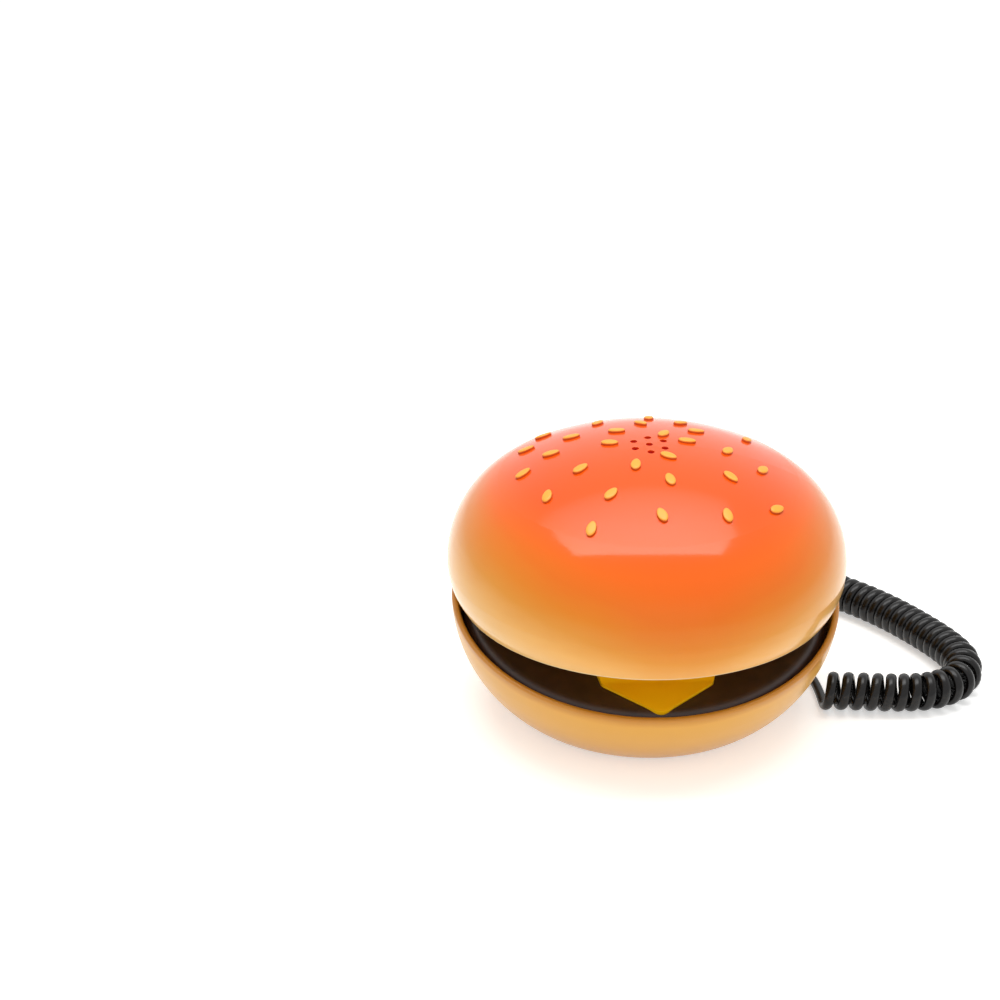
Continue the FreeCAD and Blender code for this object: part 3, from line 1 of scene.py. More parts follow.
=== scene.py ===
# %% [markdown]
# # A hamburger that is a telephone
# The real object is a flip telephone moulded as a hamburger: two sprayed plastic buns, a dark patty, a
# yellow cheese slice that carries the keypad, and a black curly cord. The rigid pieces come ready from the
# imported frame, so this lesson is about what Blender adds: paint, moulded plastic, seeds, printed digits, the
# cord, and light.

# %% Load the frame
import bmesh
import bpy
import math
import numpy as np
from mathutils import Matrix, Vector


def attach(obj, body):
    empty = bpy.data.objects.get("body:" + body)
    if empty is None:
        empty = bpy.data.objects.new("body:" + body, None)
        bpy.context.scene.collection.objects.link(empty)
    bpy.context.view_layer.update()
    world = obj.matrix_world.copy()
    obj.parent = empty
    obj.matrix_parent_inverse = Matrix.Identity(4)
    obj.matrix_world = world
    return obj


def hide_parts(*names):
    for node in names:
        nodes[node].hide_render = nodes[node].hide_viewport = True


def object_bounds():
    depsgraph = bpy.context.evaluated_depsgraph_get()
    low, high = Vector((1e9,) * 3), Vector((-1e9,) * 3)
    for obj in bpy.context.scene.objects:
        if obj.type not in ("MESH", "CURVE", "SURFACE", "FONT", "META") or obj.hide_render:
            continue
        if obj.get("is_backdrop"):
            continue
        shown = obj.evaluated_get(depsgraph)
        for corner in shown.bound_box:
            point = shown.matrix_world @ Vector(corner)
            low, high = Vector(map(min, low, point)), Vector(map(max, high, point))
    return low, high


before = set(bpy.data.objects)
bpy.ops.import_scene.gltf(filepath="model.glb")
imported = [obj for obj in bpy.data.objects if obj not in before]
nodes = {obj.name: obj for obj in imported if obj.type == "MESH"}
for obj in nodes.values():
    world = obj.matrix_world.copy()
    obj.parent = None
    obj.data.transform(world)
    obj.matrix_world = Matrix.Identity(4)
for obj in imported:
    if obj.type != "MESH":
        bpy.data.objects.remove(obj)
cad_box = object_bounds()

MM = 0.001
scene = bpy.context.scene

# %% [markdown]
# ## Small helpers
# Every colour below is written as an sRGB hex value, the way a paint chart gives it, and shaders want linear
# light, so one function converts. A second adds any node with its settings, values and links: that keeps a
# material as short as its idea. Two more start a material, and make a plain mesh of what a curve, a text or a
# modifier draws.

# %% Helpers for colours, nodes and meshes
def linear(code):
    """The linear colour of an sRGB hex value."""
    shares = [int(code[i:i + 2], 16) / 255 for i in (1, 3, 5)]
    return tuple(c / 12.92 if c <= 0.04045 else ((c + 0.055) / 1.055) ** 2.4 for c in shares) + (1.0,)


def add(tree, kind, inputs=None, stops=None, **settings):
    """One node with its settings; inputs are values or the sockets to link, stops are a ramp's colours."""
    node = tree.nodes.new(kind)
    for name, value in settings.items():
        setattr(node, name, value)
    for name, value in (inputs or {}).items():
        if isinstance(value, bpy.types.NodeSocket):
            tree.links.new(value, node.inputs[name])
        else:
            node.inputs[name].default_value = value
    for i, (place, colour) in enumerate(stops or []):
        elements = node.color_ramp.elements
        element = elements[i] if i < 2 else elements.new(place)
        element.position = place
        element.color = linear(colour)
    return node


def new_material(name, inputs=None):
    """A material with only its shader, set to the inputs; returns material, tree and shader."""
    material = bpy.data.materials.new(name)
    material.use_nodes = True
    tree = material.node_tree
    tree.nodes.clear()
    shader = add(tree, "ShaderNodeBsdfPrincipled", inputs)
    add(tree, "ShaderNodeOutputMaterial", {"Surface": shader.outputs["BSDF"]})
    return material, tree, shader


def plain_mesh(holder):
    """The mesh that a curve, a text or a modifier draws; the object that held it is removed."""
    scene.collection.objects.link(holder)
    bpy.context.view_layer.update()
    mesh = bpy.data.meshes.new_from_object(holder.evaluated_get(bpy.context.evaluated_depsgraph_get()))
    bpy.data.objects.remove(holder)
    return mesh


print("middle grey in linear light %.3f" % linear("#808080")[0])

# %% [markdown]
# ## Camera
# The photograph was taken from a little left of the front, about 26 degrees above the table, with a long
# lens. The outline of the buns gave the camera's place and the lens: 89 mm on a 36 mm sensor, nothing
# shifted.

# %% Camera
LENS = 89.35
SENSOR = 36.0
CAMERA_PLACE = Vector((-74.9, -692.0, 403.6)) * MM
CAMERA_AHEAD = Vector((0.0377, 0.9004, -0.4334))
NEAREST_SEEN = 0.01

camera_data = bpy.data.cameras.new("photo_camera")
camera_data.lens = LENS
camera_data.sensor_width = SENSOR
camera_data.clip_start = NEAREST_SEEN
camera = bpy.data.objects.new("photo_camera", camera_data)
camera.location = CAMERA_PLACE
camera.rotation_mode = "QUATERNION"
camera.rotation_quaternion = CAMERA_AHEAD.to_track_quat("-Z", "Y")
scene.collection.objects.link(camera)
scene.camera = camera
print("camera at", [round(v, 4) for v in camera.location])

# %% [markdown]
# ## Lamps
# The pale patch on the front of the bun is the reflection of one wide softbox. Following the view back from
# its corners puts the box straight above the telephone and a little behind, brighter along its front edge. A
# pale card in front lights the gap between the buns; it is kept out of the reflections.

# %% Softbox and front card
SOFTBOX_WIDTH = 0.70
SOFTBOX_DEPTH = 0.49
SOFTBOX_POWER = 3.7
SOFTBOX_FADE = 0.15
SOFTBOX_PLACE = Vector((-0.01, 0.155, 0.68))
CARD_WIDTH = 1.0
CARD_HEIGHT = 0.5
CARD_POWER = 3.0
CARD_PLACE = Vector((0.05, -1.0, 0.30))
CARD_AIM = Vector((0.0, 0.0, 0.03))


def area_lamp(name, width, depth, power, place):
    """A lamp with a rectangular face, which looks straight down until it is turned."""
    data = bpy.data.lights.new(name, "AREA")
    data.shape = "RECTANGLE"
    data.size = width
    data.size_y = depth
    data.energy = power
    lamp = bpy.data.objects.new(name, data)
    lamp.location = place
    scene.collection.objects.link(lamp)
    return lamp


softbox = area_lamp("softbox", SOFTBOX_WIDTH, SOFTBOX_DEPTH, SOFTBOX_POWER, SOFTBOX_PLACE)
softbox.data.use_nodes = True
tree = softbox.data.node_tree
tree.nodes.clear()
face = add(tree, "ShaderNodeNewGeometry")
part = add(tree, "ShaderNodeSeparateXYZ", {"Vector": face.outputs["Parametric"]})
fade = add(tree, "ShaderNodeMapRange", {
    "Value": part.outputs["Y"], "To Min": 2 - SOFTBOX_FADE, "To Max": SOFTBOX_FADE})
shine = add(tree, "ShaderNodeEmission", {"Strength": fade.outputs[0]})
add(tree, "ShaderNodeOutputLight", {"Surface": shine.outputs[0]})

card = area_lamp("front_card", CARD_WIDTH, CARD_HEIGHT, CARD_POWER, CARD_PLACE)
card.rotation_mode = "QUATERNION"
card.rotation_quaternion = (CARD_AIM - CARD_PLACE).to_track_quat("-Z", "Y")
card.visible_glossy = False
print("softbox", SOFTBOX_POWER, "W over", SOFTBOX_WIDTH, "by", SOFTBOX_DEPTH, "m")

# %% [markdown]
# ## Room and floor
# The rest of the light comes from a white room, and the floor is plain white paper. At the strength that
# suits the telephone both would read grey. So the room is full white where it is seen and dimmer where it
# lights things, and the paper glows a little where it is seen, which keeps the soft shadow on it.

# %% White room and paper floor
ROOM_LIGHT = 0.54
FLOOR_GLOW = 0.45
FLOOR_RADIUS = 8.0
FLOOR_SIDES = 96


def seen_directly(tree):
    """One for a ray from the camera, a reflection or a clear piece, and nothing for light that falls."""
    path = add(tree, "ShaderNodeLightPath")
    seen = add(tree, "ShaderNodeMath", {
        0: path.outputs["Is Camera Ray"], 1: path.outputs["Is Glossy Ray"]}, operation="MAXIMUM")
    seen = add(tree, "ShaderNodeMath", {
        0: seen.outputs[0], 1: path.outputs["Is Transmission Ray"]}, operation="MAXIMUM")
    return seen.outputs[0]


room = bpy.data.worlds.new("white_room")
room.use_nodes = True
tree = room.node_tree
tree.nodes.clear()
level = add(tree, "ShaderNodeMapRange", {"Value": seen_directly(tree), "To Min": ROOM_LIGHT})
white = add(tree, "ShaderNodeBackground", {"Color": linear("#FFFFFF"), "Strength": level.outputs[0]})
add(tree, "ShaderNodeOutputWorld", {"Surface": white.outputs[0]})
scene.world = room
scene.view_settings.view_transform = "Standard"

paper, tree, shader = new_material("white_paper", {
    "Base Color": linear("#F4F4F2"), "Roughness": 0.9, "Specular IOR Level": 0.0,
    "Emission Color": linear("#FFFFFF")})
glow = add(tree, "ShaderNodeMath", {0: seen_directly(tree), 1: FLOOR_GLOW}, operation="MULTIPLY")
tree.links.new(glow.outputs[0], shader.inputs["Emission Strength"])

floor_mesh = bpy.data.meshes.new("paper_floor")
shape = bmesh.new()
bmesh.ops.create_circle(shape, cap_ends=True, segments=FLOOR_SIDES, radius=FLOOR_RADIUS)
shape.to_mesh(floor_mesh)
shape.free()
floor = bpy.data.objects.new("paper_floor", floor_mesh)
floor.data.materials.append(paper)
scene.collection.objects.link(floor)
floor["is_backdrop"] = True
print("room at", ROOM_LIGHT, "and a paper floor", 2 * FLOOR_RADIUS, "m across")

# %% [markdown]
# ## The cord's line
# A handset cord is one length of black wire wound on a rod and baked, so its curls stay. It leaves the rubber
# boot at the back right, runs along the base, curls out to the right, turns and goes round behind. Three
# smooth NURBS lines carry it: the straight lead, the middle line of the curls, and the tail to the plug.

# %% Route of the cord
CURL_MIDDLE = 6.37
LEAD_ROUTE = [(37.86, 48.46, 11), (43, 54.9, 10.2), (51.2, 55.6, 7.5), (57.6, 50.6, 4), (58.8, 42, 1.9),
              (57.5, 31.5, 1.55), (55.5, 20.5, 1.55), (54.8, 10, 1.55), (57, -0.2, 1.52), (57, -11, 1.52)]
COIL_ROUTE = [(57, -11), (67, -11.8), (79, -13.4), (91.5, -13), (102, -6.5), (105.2, 4.5), (102, 15.5),
              (95.5, 27.5), (87, 40.5), (76.5, 52.5), (63, 63.5), (47, 73), (30, 79.5), (12, 82.5), (-6, 83)]
TAIL_ROUTE = [(-6, 83, 1.52), (-7.2, 93.8, 1.52), (-13, 100, 1.9), (-20.5, 102.4, 2.7),
              (-28.27, 100.47, 3.35), (-36, 98.4, 3.35)]


def smooth_line(name, route):
    """Points along the smooth line that a route pulls, in millimetres."""
    curve = bpy.data.curves.new(name, "CURVE")
    curve.dimensions = "3D"
    spline = curve.splines.new("NURBS")
    spline.points.add(len(route) - 1)
    for point, place in zip(spline.points, route):
        point.co = (*place, 1.0)
    spline.order_u = 3
    spline.use_endpoint_u = True
    spline.resolution_u = 40
    mesh = plain_mesh(bpy.data.objects.new(name, curve))
    line = np.array([v.co for v in mesh.vertices])
    bpy.data.meshes.remove(mesh)
    return line


def distances(line):
    """How far along the line each of its points is."""
    return np.concatenate([[0.0], np.cumsum(np.linalg.norm(np.diff(line, axis=0), axis=1))])


lead = smooth_line("cord_lead_line", LEAD_ROUTE)
middle = smooth_line("cord_curl_line", [(x, y, CURL_MIDDLE) for x, y in COIL_ROUTE])
tail = smooth_line("cord_tail_line", TAIL_ROUTE)
print("lead %.0f, curl line %.0f, tail %.0f mm" % tuple(distances(p)[-1] for p in (lead, middle, tail)))

# %% [markdown]
# ## The curls
# A curl is a circle carried along the middle line. On the inside of a bend the curls crowd together, so there
# the pitch is opened until the inner side still has room, and near the telephone the cord is pulled a little
# longer, as the photograph shows.

# %% Curl the wire round its middle line
CURL_RADIUS = 4.85
CURL_PITCH = 3.4
CURL_STRETCH = 1.5
CURL_STRETCH_TURNS = 6.0
CURLS = 54
STEPS_PER_CURL = 26
LINE_SAMPLES = 3000
HEADING_WINDOW = 61
POINT_GAP = 0.8


def curled(line):
    """The wire's centre from the bottom of the first curl to that of the last, and its way outwards."""
    far = distances(line)
    s = np.linspace(0, far[-1], LINE_SAMPLES)
    x = np.interp(s, far, line[:, 0])
    y = np.interp(s, far, line[:, 1])
    heading = np.unwrap(np.arctan2(np.gradient(y, s), np.gradient(x, s)))
    even = np.ones(HEADING_WINDOW) / HEADING_WINDOW
    heading = np.convolve(np.pad(heading, HEADING_WINDOW // 2, "edge"), even, "valid")
    bend = np.abs(np.gradient(heading, s))
    turns = [0.0]
    for i in range(1, len(s)):
        stretch = CURL_STRETCH * math.exp(-(turns[-1] / CURL_STRETCH_TURNS) ** 2)
        pitch = max(CURL_PITCH / (1 - CURL_RADIUS * bend[i]), CURL_PITCH + stretch)
        turns.append(turns[-1] + (s[i] - s[i - 1]) / pitch)
    turns = np.array(turns) * CURLS / turns[-1]
    t = np.linspace(0, CURLS, CURLS * STEPS_PER_CURL + 1)
    along = np.interp(t, turns, s)
    a = 2 * math.pi * t
    h = np.interp(along, s, heading)
    centre = np.stack([np.interp(along, s, x), np.interp(along, s, y), np.full_like(h, CURL_MIDDLE)], axis=1)
    aside = CURL_RADIUS * np.sin(a)
    outward = np.stack([np.sin(h) * aside, -np.cos(h) * aside, -CURL_RADIUS * np.cos(a)], axis=1)
    return centre + outward, outward


def thinned(line, gap):
    """The line's points, at least gap apart, with both ends kept."""
    kept = [line[0]]
    for p in line[1:-1]:
        if np.linalg.norm(p - kept[-1]) >= gap and np.linalg.norm(p - line[-1]) >= gap:
            kept.append(p)
    return np.array(kept + [line[-1]])


lead_line = thinned(lead, POINT_GAP)[:-1]
tail_line = thinned(tail, POINT_GAP)[1:]
curl_line, curl_out = curled(middle)
wire_line = np.concatenate([lead_line, curl_line, tail_line])

# %% [markdown]
# A sweep along that line makes one closed tube. The section is round in the straight ends and a little flat
# in the curls, with its flat side towards the curl's middle, and it changes over about one curl at each end.

# %% Sweep the wire
WIRE_RADIUS = 1.5
CURL_HALF_THICK = 1.3
CURL_HALF_WIDE = 1.75
WIRE_SIDES = 12


def ringed_mesh(name, rings):
    """A smooth mesh through rings of points, given in millimetres, with a cap on each end."""
    mesh = bpy.data.meshes.new(name)
    shape = bmesh.new()
    rows = [[shape.verts.new(Vector(v) * MM) for v in ring] for ring in rings]
    for low, high in zip(rows, rows[1:]):
        for i in range(len(low)):
            k = (i + 1) % len(low)
            shape.faces.new((low[i], low[k], high[k], high[i]))
    shape.faces.new(rows[0][::-1])
    shape.faces.new(rows[-1])
    bmesh.ops.recalc_face_normals(shape, faces=shape.faces[:])
    shape.to_mesh(mesh)
    shape.free()
    mesh.polygons.foreach_set("use_smooth", [True] * len(mesh.polygons))
    return mesh


def swept_rings(line, outward, half_thick, half_wide):
    """Rings along a line of points; each is thin along its outward direction and wide across it."""
    ahead = np.gradient(line, axis=0)
    ahead /= np.linalg.norm(ahead, axis=1)[:, None]
    a = np.arange(WIRE_SIDES) * 2 * math.pi / WIRE_SIDES
    rings = []
    for p, d, up, thick, wide in zip(line, ahead, outward, half_thick, half_wide):
        up = up - d * up.dot(d)
        up /= np.linalg.norm(up)
        side = np.cross(d, up)
        rings.append(p + wide * np.cos(a)[:, None] * side + thick * np.sin(a)[:, None] * up)
    return rings


down = np.array([0.0, 0.0, -1.0])
outward = np.concatenate([np.tile(down, (len(lead_line), 1)), curl_out, np.tile(down, (len(tail_line), 1))])
steps_in = np.arange(len(wire_line)) - len(lead_line)
into_curls = np.minimum(steps_in, len(curl_line) - 1 - steps_in)
flat = np.clip(into_curls / STEPS_PER_CURL + 0.5, 0.0, 1.0)
half_thick = WIRE_RADIUS + (CURL_HALF_THICK - WIRE_RADIUS) * flat
half_wide = WIRE_RADIUS + (CURL_HALF_WIDE - WIRE_RADIUS) * flat
wire_mesh = ringed_mesh("cord_wire", swept_rings(wire_line, outward, half_thick, half_wide))
wire = bpy.data.objects.new("cord_wire", wire_mesh)
scene.collection.objects.link(wire)
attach(wire, "base")
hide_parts("cord_lead_in", "curly_cord", "cord_tail")
print("wire faces", len(wire_mesh.polygons))

# %% [markdown]
# ## Cord vinyl
# The jacket is soft PVC with a gloss skin. Black PVC shows almost no colour of its own: the eye reads it by
# the narrow pale streaks on each curl, so the roughness is what matters, with a slight unevenness from
# handling. The boot where the cord leaves the base gets the same finish. A frame piece like the boot keeps
# its mesh, which has good normals already, and only has its material slot refilled.

# %% Glossy black PVC
GRIME_SIZE = 4.0


def dress(material, *names):
    """Give frame pieces their finish."""
    for name in names:
        node = nodes[name]
        node.data.materials.clear()
        node.data.materials.append(material)
    print(material.name, "on", *names)


pvc, tree, shader = new_material("glossy_black_pvc", {"IOR": 1.53, "Specular IOR Level": 0.3})
where = add(tree, "ShaderNodeTexCoord").outputs["Object"]
grime = add(tree, "ShaderNodeTexNoise", {"Vector": where, "Scale": 1 / (GRIME_SIZE * MM), "Detail": 3.0})
skin = add(tree, "ShaderNodeMapRange", {"Value": grime.outputs["Fac"], "To Min": 0.2, "To Max": 0.32})
tone = add(tree, "ShaderNodeValToRGB", {"Fac": grime.outputs["Fac"]}, stops=[
    (0.3, "#050404"), (0.75, "#0D0B0A")])
tree.links.new(skin.outputs[0], shader.inputs["Roughness"])
tree.links.new(tone.outputs["Color"], shader.inputs["Base Color"])
wire.data.materials.append(pvc)
dress(pvc, "cord_strain_relief")

# %% [markdown]
# ## Top bun
# The shell is moulded plastic, sprayed by hand: a tan coat, then orange, then red-orange from above, under
# clear lacquer. So the colour follows height, and because the gun was held in front the orange reaches lower
# there. A long flat noise stands for the streaks of the spray, and a slow one for its uneven clouds.

# %% How high each place counts for the spray
SPRAY_FRONT = 18.0
PATCH_MIDDLE = 8.0
PATCH_WIDTH = 48.0
PATCH_BACK = 10.0
PATCH_FRONT = -45.0
STREAK_WIDTH = 3.0
STREAK_STRETCH = (0.18, 0.18, 1.0)
STREAK_RISE = 1.6
CLOUD_SIZE = 30.0
CLOUD_RISE = 5.0

bun_paint, tree, shader = new_material("sprayed_orange_lacquer", {
    "IOR": 1.5, "Specular IOR Level": 0.08, "Coat Weight": 0.8, "Coat Roughness": 0.12, "Coat IOR": 1.38})
where = add(tree, "ShaderNodeTexCoord").outputs["Object"]
part = add(tree, "ShaderNodeSeparateXYZ", {"Vector": where})
beside = add(tree, "ShaderNodeMath", {0: part.outputs["X"], 1: PATCH_MIDDLE * MM}, operation="SUBTRACT")
beside = add(tree, "ShaderNodeMath", {0: beside.outputs[0], 1: 1 / (PATCH_WIDTH * MM)}, operation="MULTIPLY")
beside = add(tree, "ShaderNodeMath", {0: beside.outputs[0], 1: beside.outputs[0]}, operation="MULTIPLY")
beside = add(tree, "ShaderNodeMath", {0: beside.outputs[0], 1: -1.0}, operation="MULTIPLY")
beside = add(tree, "ShaderNodeMath", {0: beside.outputs[0]}, operation="EXPONENT")
before = add(tree, "ShaderNodeMapRange", {
    "Value": part.outputs["Y"], "From Min": PATCH_BACK * MM, "From Max": PATCH_FRONT * MM},
    interpolation_type="SMOOTHSTEP")
patch = add(tree, "ShaderNodeMath", {0: beside.outputs[0], 1: before.outputs[0]}, operation="MULTIPLY")
stretch = add(tree, "ShaderNodeMapping", {"Vector": where, "Scale": STREAK_STRETCH})
streak = add(tree, "ShaderNodeTexNoise", {
    "Vector": stretch.outputs[0], "Scale": 1 / (STREAK_WIDTH * MM), "Detail": 4.0})
cloud = add(tree, "ShaderNodeTexNoise", {"Vector": where, "Scale": 1 / (CLOUD_SIZE * MM), "Detail": 2.0})
height = part.outputs["Z"]
for amount, lift in ((patch.outputs[0], SPRAY_FRONT), (streak.outputs["Fac"], STREAK_RISE),
                     (cloud.outputs["Fac"], CLOUD_RISE)):
    raised = add(tree, "ShaderNodeMath", {0: amount, 1: lift * MM, 2: height}, operation="MULTIPLY_ADD")
    height = raised.outputs[0]
print("spray reaches", SPRAY_FRONT, "mm lower in front")

# %% [markdown]
# A colour ramp turns that height into paint. The crown is evened out with the last coat, and a cream line
# along the lower edge is a painted highlight of the edge's rounding.

# %% From height to paint
SPRAY_LOW = 48.0
SPRAY_HIGH = 92.0
CROWN_LOW = 70.0
CROWN_HIGH = 82.0
EDGE_HIGHLIGHT_FULL = 39.15
EDGE_HIGHLIGHT_END = 39.75

mean_rise = (STREAK_RISE + CLOUD_RISE) / 2
share = add(tree, "ShaderNodeMapRange", {
    "Value": height, "From Min": (SPRAY_LOW + mean_rise) * MM, "From Max": (SPRAY_HIGH + mean_rise) * MM})
spray = add(tree, "ShaderNodeValToRGB", {"Fac": share.outputs[0]}, stops=[
    (0.0, "#F0BE72"), (1.0, "#EC5E02"), (0.18, "#EEAF58"), (0.36, "#E2922D"), (0.50, "#E28016"),
    (0.66, "#E46E08"), (0.82, "#EA6402")])
above = add(tree, "ShaderNodeMapRange", {
    "Value": part.outputs["Z"], "From Min": CROWN_LOW * MM, "From Max": CROWN_HIGH * MM},
    interpolation_type="SMOOTHSTEP")
spray = add(tree, "ShaderNodeMix", {
    "Factor": above.outputs[0], 6: spray.outputs["Color"], 7: linear("#EE5402")}, data_type="RGBA")
# At the lowest edge the colour turns cream: a painted highlight of the rounded edge, not paint.
edge = add(tree, "ShaderNodeMapRange", {
    "Value": part.outputs["Z"], "From Min": EDGE_HIGHLIGHT_FULL * MM, "From Max": EDGE_HIGHLIGHT_END * MM})
paint = add(tree, "ShaderNodeMix", {
    "Factor": edge.outputs[0], 6: linear("#F6DFB2"), 7: spray.outputs[2]}, data_type="RGBA")
print("paint runs from", SPRAY_LOW, "to", SPRAY_HIGH, "mm")

# %% [markdown]
# Inside the sound holes the bare red plastic shows: near the axis, and deeper than the curve of the crown.
# The lacquer is a coat layer, a sharp weak reflection over the paint's broad one.

# %% Sound holes and lacquer
HOLES_REACH = 6.8
CROWN_TOP = 88.5
CROWN_RADIUS = 97.3
BARE_BELOW = 0.15
WAVE_DEPTH = 0.3

off_axis = add(tree, "ShaderNodeCombineXYZ", {"X": part.outputs["X"], "Y": part.outputs["Y"]})
radius = add(tree, "ShaderNodeVectorMath", {0: off_axis.outputs[0]}, operation="LENGTH").outputs["Value"]
near_axis = add(tree, "ShaderNodeMath", {0: radius, 1: HOLES_REACH * MM}, operation="LESS_THAN")
square = add(tree, "ShaderNodeMath", {0: radius, 1: radius}, operation="MULTIPLY")
skin_z = add(tree, "ShaderNodeMath", {
    0: square.outputs[0], 1: -1 / (2 * CROWN_RADIUS * MM), 2: (CROWN_TOP - BARE_BELOW) * MM},
    operation="MULTIPLY_ADD")
sunk = add(tree, "ShaderNodeMath", {0: part.outputs["Z"], 1: skin_z.outputs[0]}, operation="LESS_THAN")
in_hole = add(tree, "ShaderNodeMath", {0: near_axis.outputs[0], 1: sunk.outputs[0]}, operation="MULTIPLY")
colour = add(tree, "ShaderNodeMix", {
    "Factor": in_hole.outputs[0], 6: paint.outputs[2], 7: linear("#F03424")}, data_type="RGBA")
wave = add(tree, "ShaderNodeBump", {
    "Height": cloud.outputs["Fac"], "Strength": 0.05, "Distance": WAVE_DEPTH * MM})
satin = add(tree, "ShaderNodeMapRange", {"Value": streak.outputs["Fac"], "To Min": 0.30, "To Max": 0.42})
tree.links.new(colour.outputs[2], shader.inputs["Base Color"])
tree.links.new(satin.outputs[0], shader.inputs["Roughness"])
tree.links.new(wave.outputs[0], shader.inputs["Normal"])
dress(bun_paint, "top_bun")

# %% [markdown]
# ## Bottom bun
# The lower half has only the tan coat. The browner band along the lip is painted shade from the mouth's edge,
# and the tan turns a little darker towards the bottom. The lip slopes down to the front, so the band is
# measured from the lip's own height and not from the table.

# %% Sprayed tan lacquer
LIP_Z = 38.4
LIP_SLOPE = math.tan(math.radians(11.8))
LIP_START = 4.0
LIP_SOFT = 10.0
TAN_STREAK_WIDTH = 2.4
TAN_STREAK_STRETCH = (0.15, 0.15, 1.0)
TAN_STREAK_RISE = 1.6
TAN_DEPTH = 40.0

tan_paint_and_lip_shade, tree, shader = new_material("sprayed_tan_lacquer_and_lip_shade", {
    "IOR": 1.5, "Specular IOR Level": 0.3, "Coat Weight": 0.35, "Coat Roughness": 0.14})
where = add(tree, "ShaderNodeTexCoord").outputs["Object"]
part = add(tree, "ShaderNodeSeparateXYZ", {"Vector": where})
ahead = add(tree, "ShaderNodeMath", {0: LIP_START * MM, 1: part.outputs["Y"]}, operation="SUBTRACT")
ahead = add(tree, "ShaderNodeMath", {0: ahead.outputs[0], 1: 0.0, 2: LIP_SOFT * MM}, operation="SMOOTH_MAX")
lip = add(tree, "ShaderNodeMath", {
    0: ahead.outputs[0], 1: -LIP_SLOPE, 2: LIP_Z * MM}, operation="MULTIPLY_ADD")
below_lip = add(tree, "ShaderNodeMath", {0: lip.outputs[0], 1: part.outputs["Z"]}, operation="SUBTRACT")
stretch = add(tree, "ShaderNodeMapping", {"Vector": where, "Scale": TAN_STREAK_STRETCH})
streak = add(tree, "ShaderNodeTexNoise", {
    "Vector": stretch.outputs[0], "Scale": 1 / (TAN_STREAK_WIDTH * MM), "Detail": 4.0})
worn = add(tree, "ShaderNodeMath", {
    0: streak.outputs["Fac"], 1: TAN_STREAK_RISE * MM, 2: below_lip.outputs[0]}, operation="MULTIPLY_ADD")
share = add(tree, "ShaderNodeMapRange", {
    "Value": worn.outputs[0], "From Min": 0.0, "From Max": TAN_DEPTH * MM})
# The browner first stops are painted shade under the lip; below them is the tan coat, a little darker towards
# the bottom.
tan_with_lip_shade = add(tree, "ShaderNodeValToRGB", {"Fac": share.outputs[0]}, stops=[
    (0.0, "#C07A1E"), (1.0, "#D6983A"), (0.045, "#C68428"), (0.11, "#E0A442"), (0.3, "#E2A848"),
    (0.7, "#DCA042")])
satin = add(tree, "ShaderNodeMapRange", {"Value": streak.outputs["Fac"], "To Min": 0.34, "To Max": 0.48})
tree.links.new(tan_with_lip_shade.outputs["Color"], shader.inputs["Base Color"])
tree.links.new(satin.outputs[0], shader.inputs["Roughness"])
dress(tan_paint_and_lip_shade, "bottom_bun")

# %% [markdown]
# ## Patty, cheese and keys
# These are plastics coloured right through and moulded in polished tools. The patty is a dark brown with a
# faint sheen; its slow ripples keep the reflection from looking like glass. The cheese is a warm yellow, and
# the cover inside the lid a clearer one. Switch, capsules, keys and black plates differ only in colour, gloss
# and ripple, so one function makes them all.

# %% Moulded plastic in seven colours
TOOL_GRAIN = 0.5
GLOSS_SPREAD = 0.06
RIPPLE_DEPTH = 0.4


def moulded_plastic(name, deep, pale, rough, ripple, ripple_size):
    """Moulded plastic: slow colour clouding, slight ripple and a fine tool texture."""
    material, tree, shader = new_material(name, {"IOR": 1.54})
    where = add(tree, "ShaderNodeTexCoord").outputs["Object"]
    slow = add(tree, "ShaderNodeTexNoise", {"Vector": where, "Scale": 1 / (ripple_size * MM), "Detail": 2.0})
    fine = add(tree, "ShaderNodeTexNoise", {"Vector": where, "Scale": 1 / (TOOL_GRAIN * MM), "Detail": 2.0})
    tone = add(tree, "ShaderNodeValToRGB", {"Fac": slow.outputs["Fac"]}, stops=[(0.3, deep), (0.7, pale)])
    satin = add(tree, "ShaderNodeMapRange", {
        "Value": fine.outputs["Fac"], "To Min": rough - GLOSS_SPREAD, "To Max": rough + GLOSS_SPREAD})
    bump = add(tree, "ShaderNodeBump", {
        "Height": slow.outputs["Fac"], "Strength": ripple, "Distance": RIPPLE_DEPTH * MM})
    tree.links.new(tone.outputs["Color"], shader.inputs["Base Color"])
    tree.links.new(satin.outputs[0], shader.inputs["Roughness"])
    tree.links.new(bump.outputs[0], shader.inputs["Normal"])
    return material


patty_abs = moulded_plastic("dark_brown_abs", "#2A170E", "#3A2216", 0.44, 0.25, 6.0)
cheese_abs = moulded_plastic("cheese_yellow_abs", "#FFBC04", "#FFC408", 0.32, 0.06, 14.0)
cover_abs = moulded_plastic("clear_yellow_abs", "#E2B004", "#E8B90A", 0.26, 0.05, 16.0)
lemon_abs = moulded_plastic("lemon_yellow_abs", "#F0C400", "#F4CC08", 0.28, 0.04, 12.0)
key_abs = moulded_plastic("cream_key_abs", "#E6E0B6", "#ECE7C4", 0.42, 0.03, 5.0)
nylon = moulded_plastic("black_nylon", "#141414", "#1E1D1C", 0.5, 0.05, 3.0)
acrylic = moulded_plastic("black_acrylic_plate", "#0A0B0A", "#10120F", 0.16, 0.01, 12.0)
key_names = [n for n in nodes if n.startswith("key_") and n != "key_mat"]
dress(patty_abs, "patty")
dress(cheese_abs, "cheese_deck")
dress(cover_abs, "lid_cover")
dress(lemon_abs, "lid_hinge_leaf", "hook_button")
dress(key_abs, *key_names)
dress(nylon, "hook_switch", "receiver", "ringer")
dress(acrylic, "name_plate", "function_strip")

